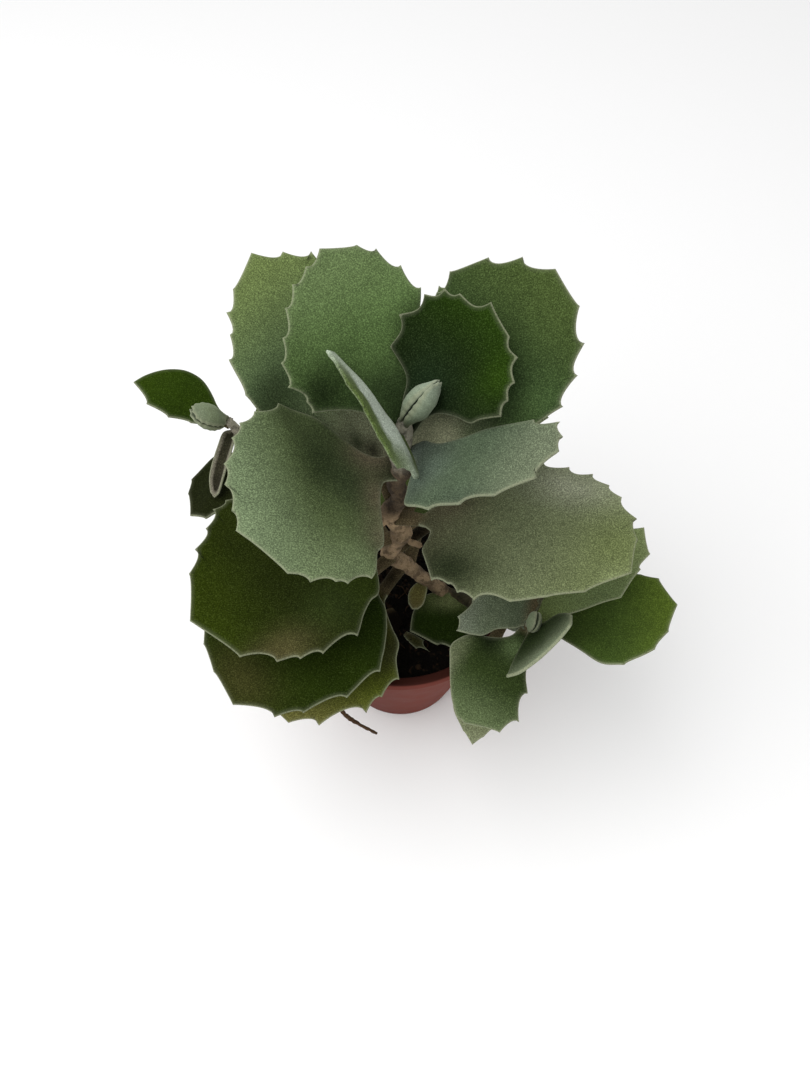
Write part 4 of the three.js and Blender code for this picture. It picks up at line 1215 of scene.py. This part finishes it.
class KALANCHOE_OT_soil(bpy.types.Operator):
    """Fill the pot with compost, crumbs, bits of bark and fibres"""
    bl_idname = "kalanchoe.soil"
    bl_label = "Compost"
    rings = 44
    courses = 6
    sides = 132

    def execute(self, context):
        look = context.scene.kalanchoe_soil
        pot = context.scene.kalanchoe_pot
        level = look.level / MM
        chance = random.Random(41)
        mould = Mould()
        self.bed(mould, level, pot)
        for _ in range(look.crumbs):
            self.crumb(mould, level, pot, chance)
        for _ in range(look.fibres):
            self.fibre(mould, level, pot, chance)
        material = material_for("damp_compost", compost_finish, look)
        soil = piece("compost_bed", mould.points, mould.faces, material, {"fibre": mould.values})
        hand_over(soil, "soil", "soil")
        return {"FINISHED"}

    def bed(self, mould, level, pot):
        """The filled pot's compost: a lumpy top, sides along the wall and a flat bottom."""
        edge = inner_radius(pot, level) - SOIL_BORDER
        points = [(0, 0, soil_height(0, 0, level))]
        for number in range(1, self.rings + 1):
            share = number / self.rings
            for cosine, sine in circle(self.sides):
                x, y = edge * share * cosine, edge * share * sine
                hills = 1.1 * noise.noise(Vector((x, y, 7)) * 0.35)
                lumps = 0.8 * noise.noise(Vector((x, y, 3)) * 0.9)
                z = soil_height(x, y, level) + (hills + lumps)
                points.append((x, y, blend(z, level - SOIL_RELIEF, float(ease(share, 0.88, 1)))))
        courses = [(inner_radius(pot, height) - SOIL_BORDER, height)
                   for height in np.linspace(level - SOIL_TOP_COURSE, SOIL_LOW_COURSE, self.courses)]
        courses.append((inner_radius(pot, SOIL_FOOT) - SOIL_FOOT_BORDER, SOIL_FOOT))
        for radius, height in courses:
            points += [(radius * cosine, radius * sine, height) for cosine, sine in circle(self.sides)]
        rows = self.rings + len(courses)
        faces = fan(0, 1, self.sides) + turned_over(bands(1, rows, self.sides))
        bottom = 1 + (rows - 1) * self.sides
        faces.append(list(range(bottom, bottom + self.sides))[::-1])
        mould.add(points, faces)

    @staticmethod
    def spot(pot, level, chance, border):
        """A random place on the compost."""
        edge = inner_radius(pot, level) - border
        turn = chance.uniform(0, 2 * math.pi)
        away = edge * math.sqrt(chance.random())
        x, y = away * math.cos(turn), away * math.sin(turn)
        return x, y, soil_height(x, y, level)

    def crumb(self, mould, level, pot, chance):
        """One irregular crumb of compost or bark, pressed into the surface."""
        x, y, z = self.spot(pot, level, chance, 2.5)
        size = chance.uniform(0.4, 1.5) * chance.uniform(0.7, 1)
        stretch = Vector((chance.uniform(0.7, 1.6), chance.uniform(0.6, 1), chance.uniform(0.35, 0.8)))
        seed = Vector((chance.uniform(0, 90), chance.uniform(0, 90), 5))
        lump = bmesh.new()
        bmesh.ops.create_icosphere(lump, subdivisions=2, radius=1)
        spin = chance.uniform(0, math.pi)
        points = []
        for vertex in lump.verts:
            out = vertex.co * (1 + 0.35 * noise.noise(vertex.co * 1.7 + seed)) * size
            out = Vector((out.x * stretch.x, out.y * stretch.y, out.z * stretch.z))
            points.append((x + out.x * math.cos(spin) - out.y * math.sin(spin),
                           y + out.x * math.sin(spin) + out.y * math.cos(spin), z + 0.2 * size + out.z))
        faces = [[v.index for v in face.verts] for face in lump.faces]
        lump.free()
        mould.add(points, faces, chance.choice((0, 0, 0, 0.25, 0.55)))

    def fibre(self, mould, level, pot, chance):
        """One short thread of coir that lies on the surface."""
        x, y, z = self.spot(pot, level, chance, 6)
        turn = chance.uniform(0, 2 * math.pi)
        length = chance.uniform(2.5, 7)
        thick = chance.uniform(0.12, 0.28)
        stations = []
        for share in (0, 0.33, 0.66, 1):
            px = x + math.cos(turn) * length * (share - 0.5)
            py = y + math.sin(turn) * length * (share - 0.5)
            stations.append((px, py, soil_height(px, py, level) + chance.uniform(0.2, 1.1), thick))
            turn += chance.uniform(-0.5, 0.5)
        points, faces = tube(stations, step=0.7, sides=6, rough=0.05, seed=np.array((x, y, z)))
        mould.add(points, faces, chance.uniform(0.5, 1))


class KALANCHOE_OT_stem(bpy.types.Operator):
    """Grow the felted stem with its two side shoots"""
    bl_idname = "kalanchoe.stem"
    bl_label = "Stem"

    def execute(self, context):
        look = context.scene.kalanchoe_stem
        knots = look.knot_height / MM

        def scars(at):
            return knots * sum(math.exp(-((at[2] - z) / KNOT_REACH) ** 2) for z in KNOTS)

        mould = Mould()
        seed = np.array((9.0, 4.0, 2.0))
        mould.add(*tube(TRUNK, **WOOD, seed=seed, swell=scars))
        for number, stations in enumerate((LEFT_SHOOT, RIGHT_SHOOT, *STUBS), 2):
            mould.add(*tube(stations, **WOOD, seed=seed * number))
        material = material_for("stem_bark_felt", stem_felt, look)
        stem = piece("felted_stem", mould.points, mould.faces, material)
        hand_over(stem, "stem", "stem")
        return {"FINISHED"}


class KALANCHOE_OT_crown_leaves(bpy.types.Operator):
    """Set the pair of leaves under the crown bud"""
    bl_idname = "kalanchoe.crown_leaves"
    bl_label = "Crown leaves"

    def execute(self, context):
        plant_leaves(context, CROWN_LEAVES)
        return {"FINISHED"}


class KALANCHOE_OT_upper_leaves(bpy.types.Operator):
    """Set the broad pairs of leaves on the upper stem"""
    bl_idname = "kalanchoe.upper_leaves"
    bl_label = "Upper leaves"

    def execute(self, context):
        plant_leaves(context, UPPER_LEAVES)
        return {"FINISHED"}


class KALANCHOE_OT_lower_leaves(bpy.types.Operator):
    """Set the older leaves on the lower stem"""
    bl_idname = "kalanchoe.lower_leaves"
    bl_label = "Lower leaves"

    def execute(self, context):
        plant_leaves(context, LOWER_LEAVES)
        return {"FINISHED"}


class KALANCHOE_OT_rear_leaves(bpy.types.Operator):
    """Set the leaves behind the stem"""
    bl_idname = "kalanchoe.rear_leaves"
    bl_label = "Rear leaves"

    def execute(self, context):
        plant_leaves(context, REAR_LEAVES)
        return {"FINISHED"}


class KALANCHOE_OT_right_shoot_leaves(bpy.types.Operator):
    """Set the leaves of the short shoot on the right"""
    bl_idname = "kalanchoe.right_shoot_leaves"
    bl_label = "Right shoot leaves"

    def execute(self, context):
        plant_leaves(context, RIGHT_SHOOT_LEAVES)
        return {"FINISHED"}


class KALANCHOE_OT_left_shoot_leaves(bpy.types.Operator):
    """Set the leaves of the long shoot on the left"""
    bl_idname = "kalanchoe.left_shoot_leaves"
    bl_label = "Left shoot leaves"

    def execute(self, context):
        plant_leaves(context, LEFT_SHOOT_LEAVES)
        return {"FINISHED"}


class KALANCHOE_OT_soil_leaves(bpy.types.Operator):
    """Set the two small leaves over the compost"""
    bl_idname = "kalanchoe.soil_leaves"
    bl_label = "Low leaves"

    def execute(self, context):
        plant_leaves(context, SOIL_LEAVES)
        return {"FINISHED"}


class KALANCHOE_OT_buds(bpy.types.Operator):
    """Close a pair of young leaves at each shoot's tip"""
    bl_idname = "kalanchoe.buds"
    bl_label = "Buds"

    def execute(self, context):
        look = context.scene.kalanchoe_leaf
        material = material_for("young_leaf_felt", leaf_felt, look, 0.2, 0.45)
        for bud in BUD_PAIRS:
            for name, side in zip(bud["names"], (-1, 1)):
                self.bud_leaf(bud, name, side, material, look)
        return {"FINISHED"}

    @staticmethod
    def bud_leaf(bud, name, side, material, look):
        """One leaf of a closed pair, which faces its opposite leaf and leans away from it a little."""
        along, left, up = directions(bud["heading"], bud["rise"], bud["roll"])
        lean = math.radians(bud["facing"]) * side
        aim = along * math.cos(lean) + up * math.sin(lean)
        across = left * -side
        start = np.array(bud["at"], float) + up * side * bud["apart"]
        sheet = Sheet(start, aim, across, np.cross(aim, across), bud["bend"], BUD_SHEET["cup"])
        edge = even_edge(bud["length"], bud["width"], BUD_FLANK, BUD_TEETH)
        leaf = BUD_SHEET | edge | dict(name=name, tones=bud["tones"], plump=bud["plump"])
        hand_over(leaf_mesh(leaf, sheet, material, look), "young_leaf", name)


class KALANCHOE_OT_loose_pieces(bpy.types.Operator):
    """Drop the fallen and the withered leaf on the compost, and hang the dead stalk over the rim"""
    bl_idname = "kalanchoe.loose_pieces"
    bl_label = "Loose pieces"

    def execute(self, context):
        look = context.scene.kalanchoe_leaf
        dry = material_for("dry_stalk_and_leaf", dry_leaf_finish)
        for row in LOOSE_LEAVES:
            leaf = LOOSE_SHEET | row | even_edge(row["length"], row["width"], LOOSE_FLANK, LOOSE_TEETH)
            material = green_felt(look) if row["slot"] == "leaf" else dry
            hand_over(leaf_mesh(leaf, leaf_sheet(leaf), material, look), row["slot"], row["name"])
        seed = np.array((3.0, 8.0, 1.0))
        points, faces = tube(DEAD_STALK, step=0.6, sides=14, rough=0.3, seed=seed)
        brown = np.tile(linear("4a3828"), (len(points), 1))
        stalk = piece("dry_dead_stalk", points, faces, dry, {"tone": brown})
        hand_over(stalk, "dry", "dead_stalk")
        return {"FINISHED"}


class KALANCHOE_PT_panel(bpy.types.Panel):
    """Lists the pieces of the potted kalanchoe and their settings"""
    bl_idname = "KALANCHOE_PT_panel"
    bl_label = "Potted Kalanchoe"
    bl_space_type = "VIEW_3D"
    bl_region_type = "UI"
    bl_category = "Kalanchoe"

    def draw(self, context):
        for label, settings in SETTINGS.items():
            box = self.layout.box()
            group = getattr(context.scene, label)
            for field in settings.__annotations__:
                box.prop(group, field)
        for operator in OPERATORS:
            self.layout.operator(operator.bl_idname)


SETTINGS = {
    "kalanchoe_stage": StageSettings,
    "kalanchoe_pot": PotSettings,
    "kalanchoe_soil": SoilSettings,
    "kalanchoe_stem": StemSettings,
    "kalanchoe_leaf": LeafSettings,
}
OPERATORS = (
    KALANCHOE_OT_stage,
    KALANCHOE_OT_pot,
    KALANCHOE_OT_soil,
    KALANCHOE_OT_stem,
    KALANCHOE_OT_crown_leaves,
    KALANCHOE_OT_upper_leaves,
    KALANCHOE_OT_lower_leaves,
    KALANCHOE_OT_rear_leaves,
    KALANCHOE_OT_right_shoot_leaves,
    KALANCHOE_OT_left_shoot_leaves,
    KALANCHOE_OT_soil_leaves,
    KALANCHOE_OT_buds,
    KALANCHOE_OT_loose_pieces,
)


def register():
    for settings in SETTINGS.values():
        bpy.utils.register_class(settings)
    for label, settings in SETTINGS.items():
        setattr(bpy.types.Scene, label, bpy.props.PointerProperty(type=settings))
    for operator in (*OPERATORS, KALANCHOE_PT_panel):
        bpy.utils.register_class(operator)


def unregister():
    for operator in reversed((*OPERATORS, KALANCHOE_PT_panel)):
        bpy.utils.unregister_class(operator)
    for label, settings in SETTINGS.items():
        delattr(bpy.types.Scene, label)
        bpy.utils.unregister_class(settings)


def main():
    register()
    for operator in OPERATORS:
        group, name = operator.bl_idname.split(".")
        getattr(getattr(bpy.ops, group), name)()


if __name__ == "__main__":
    main()
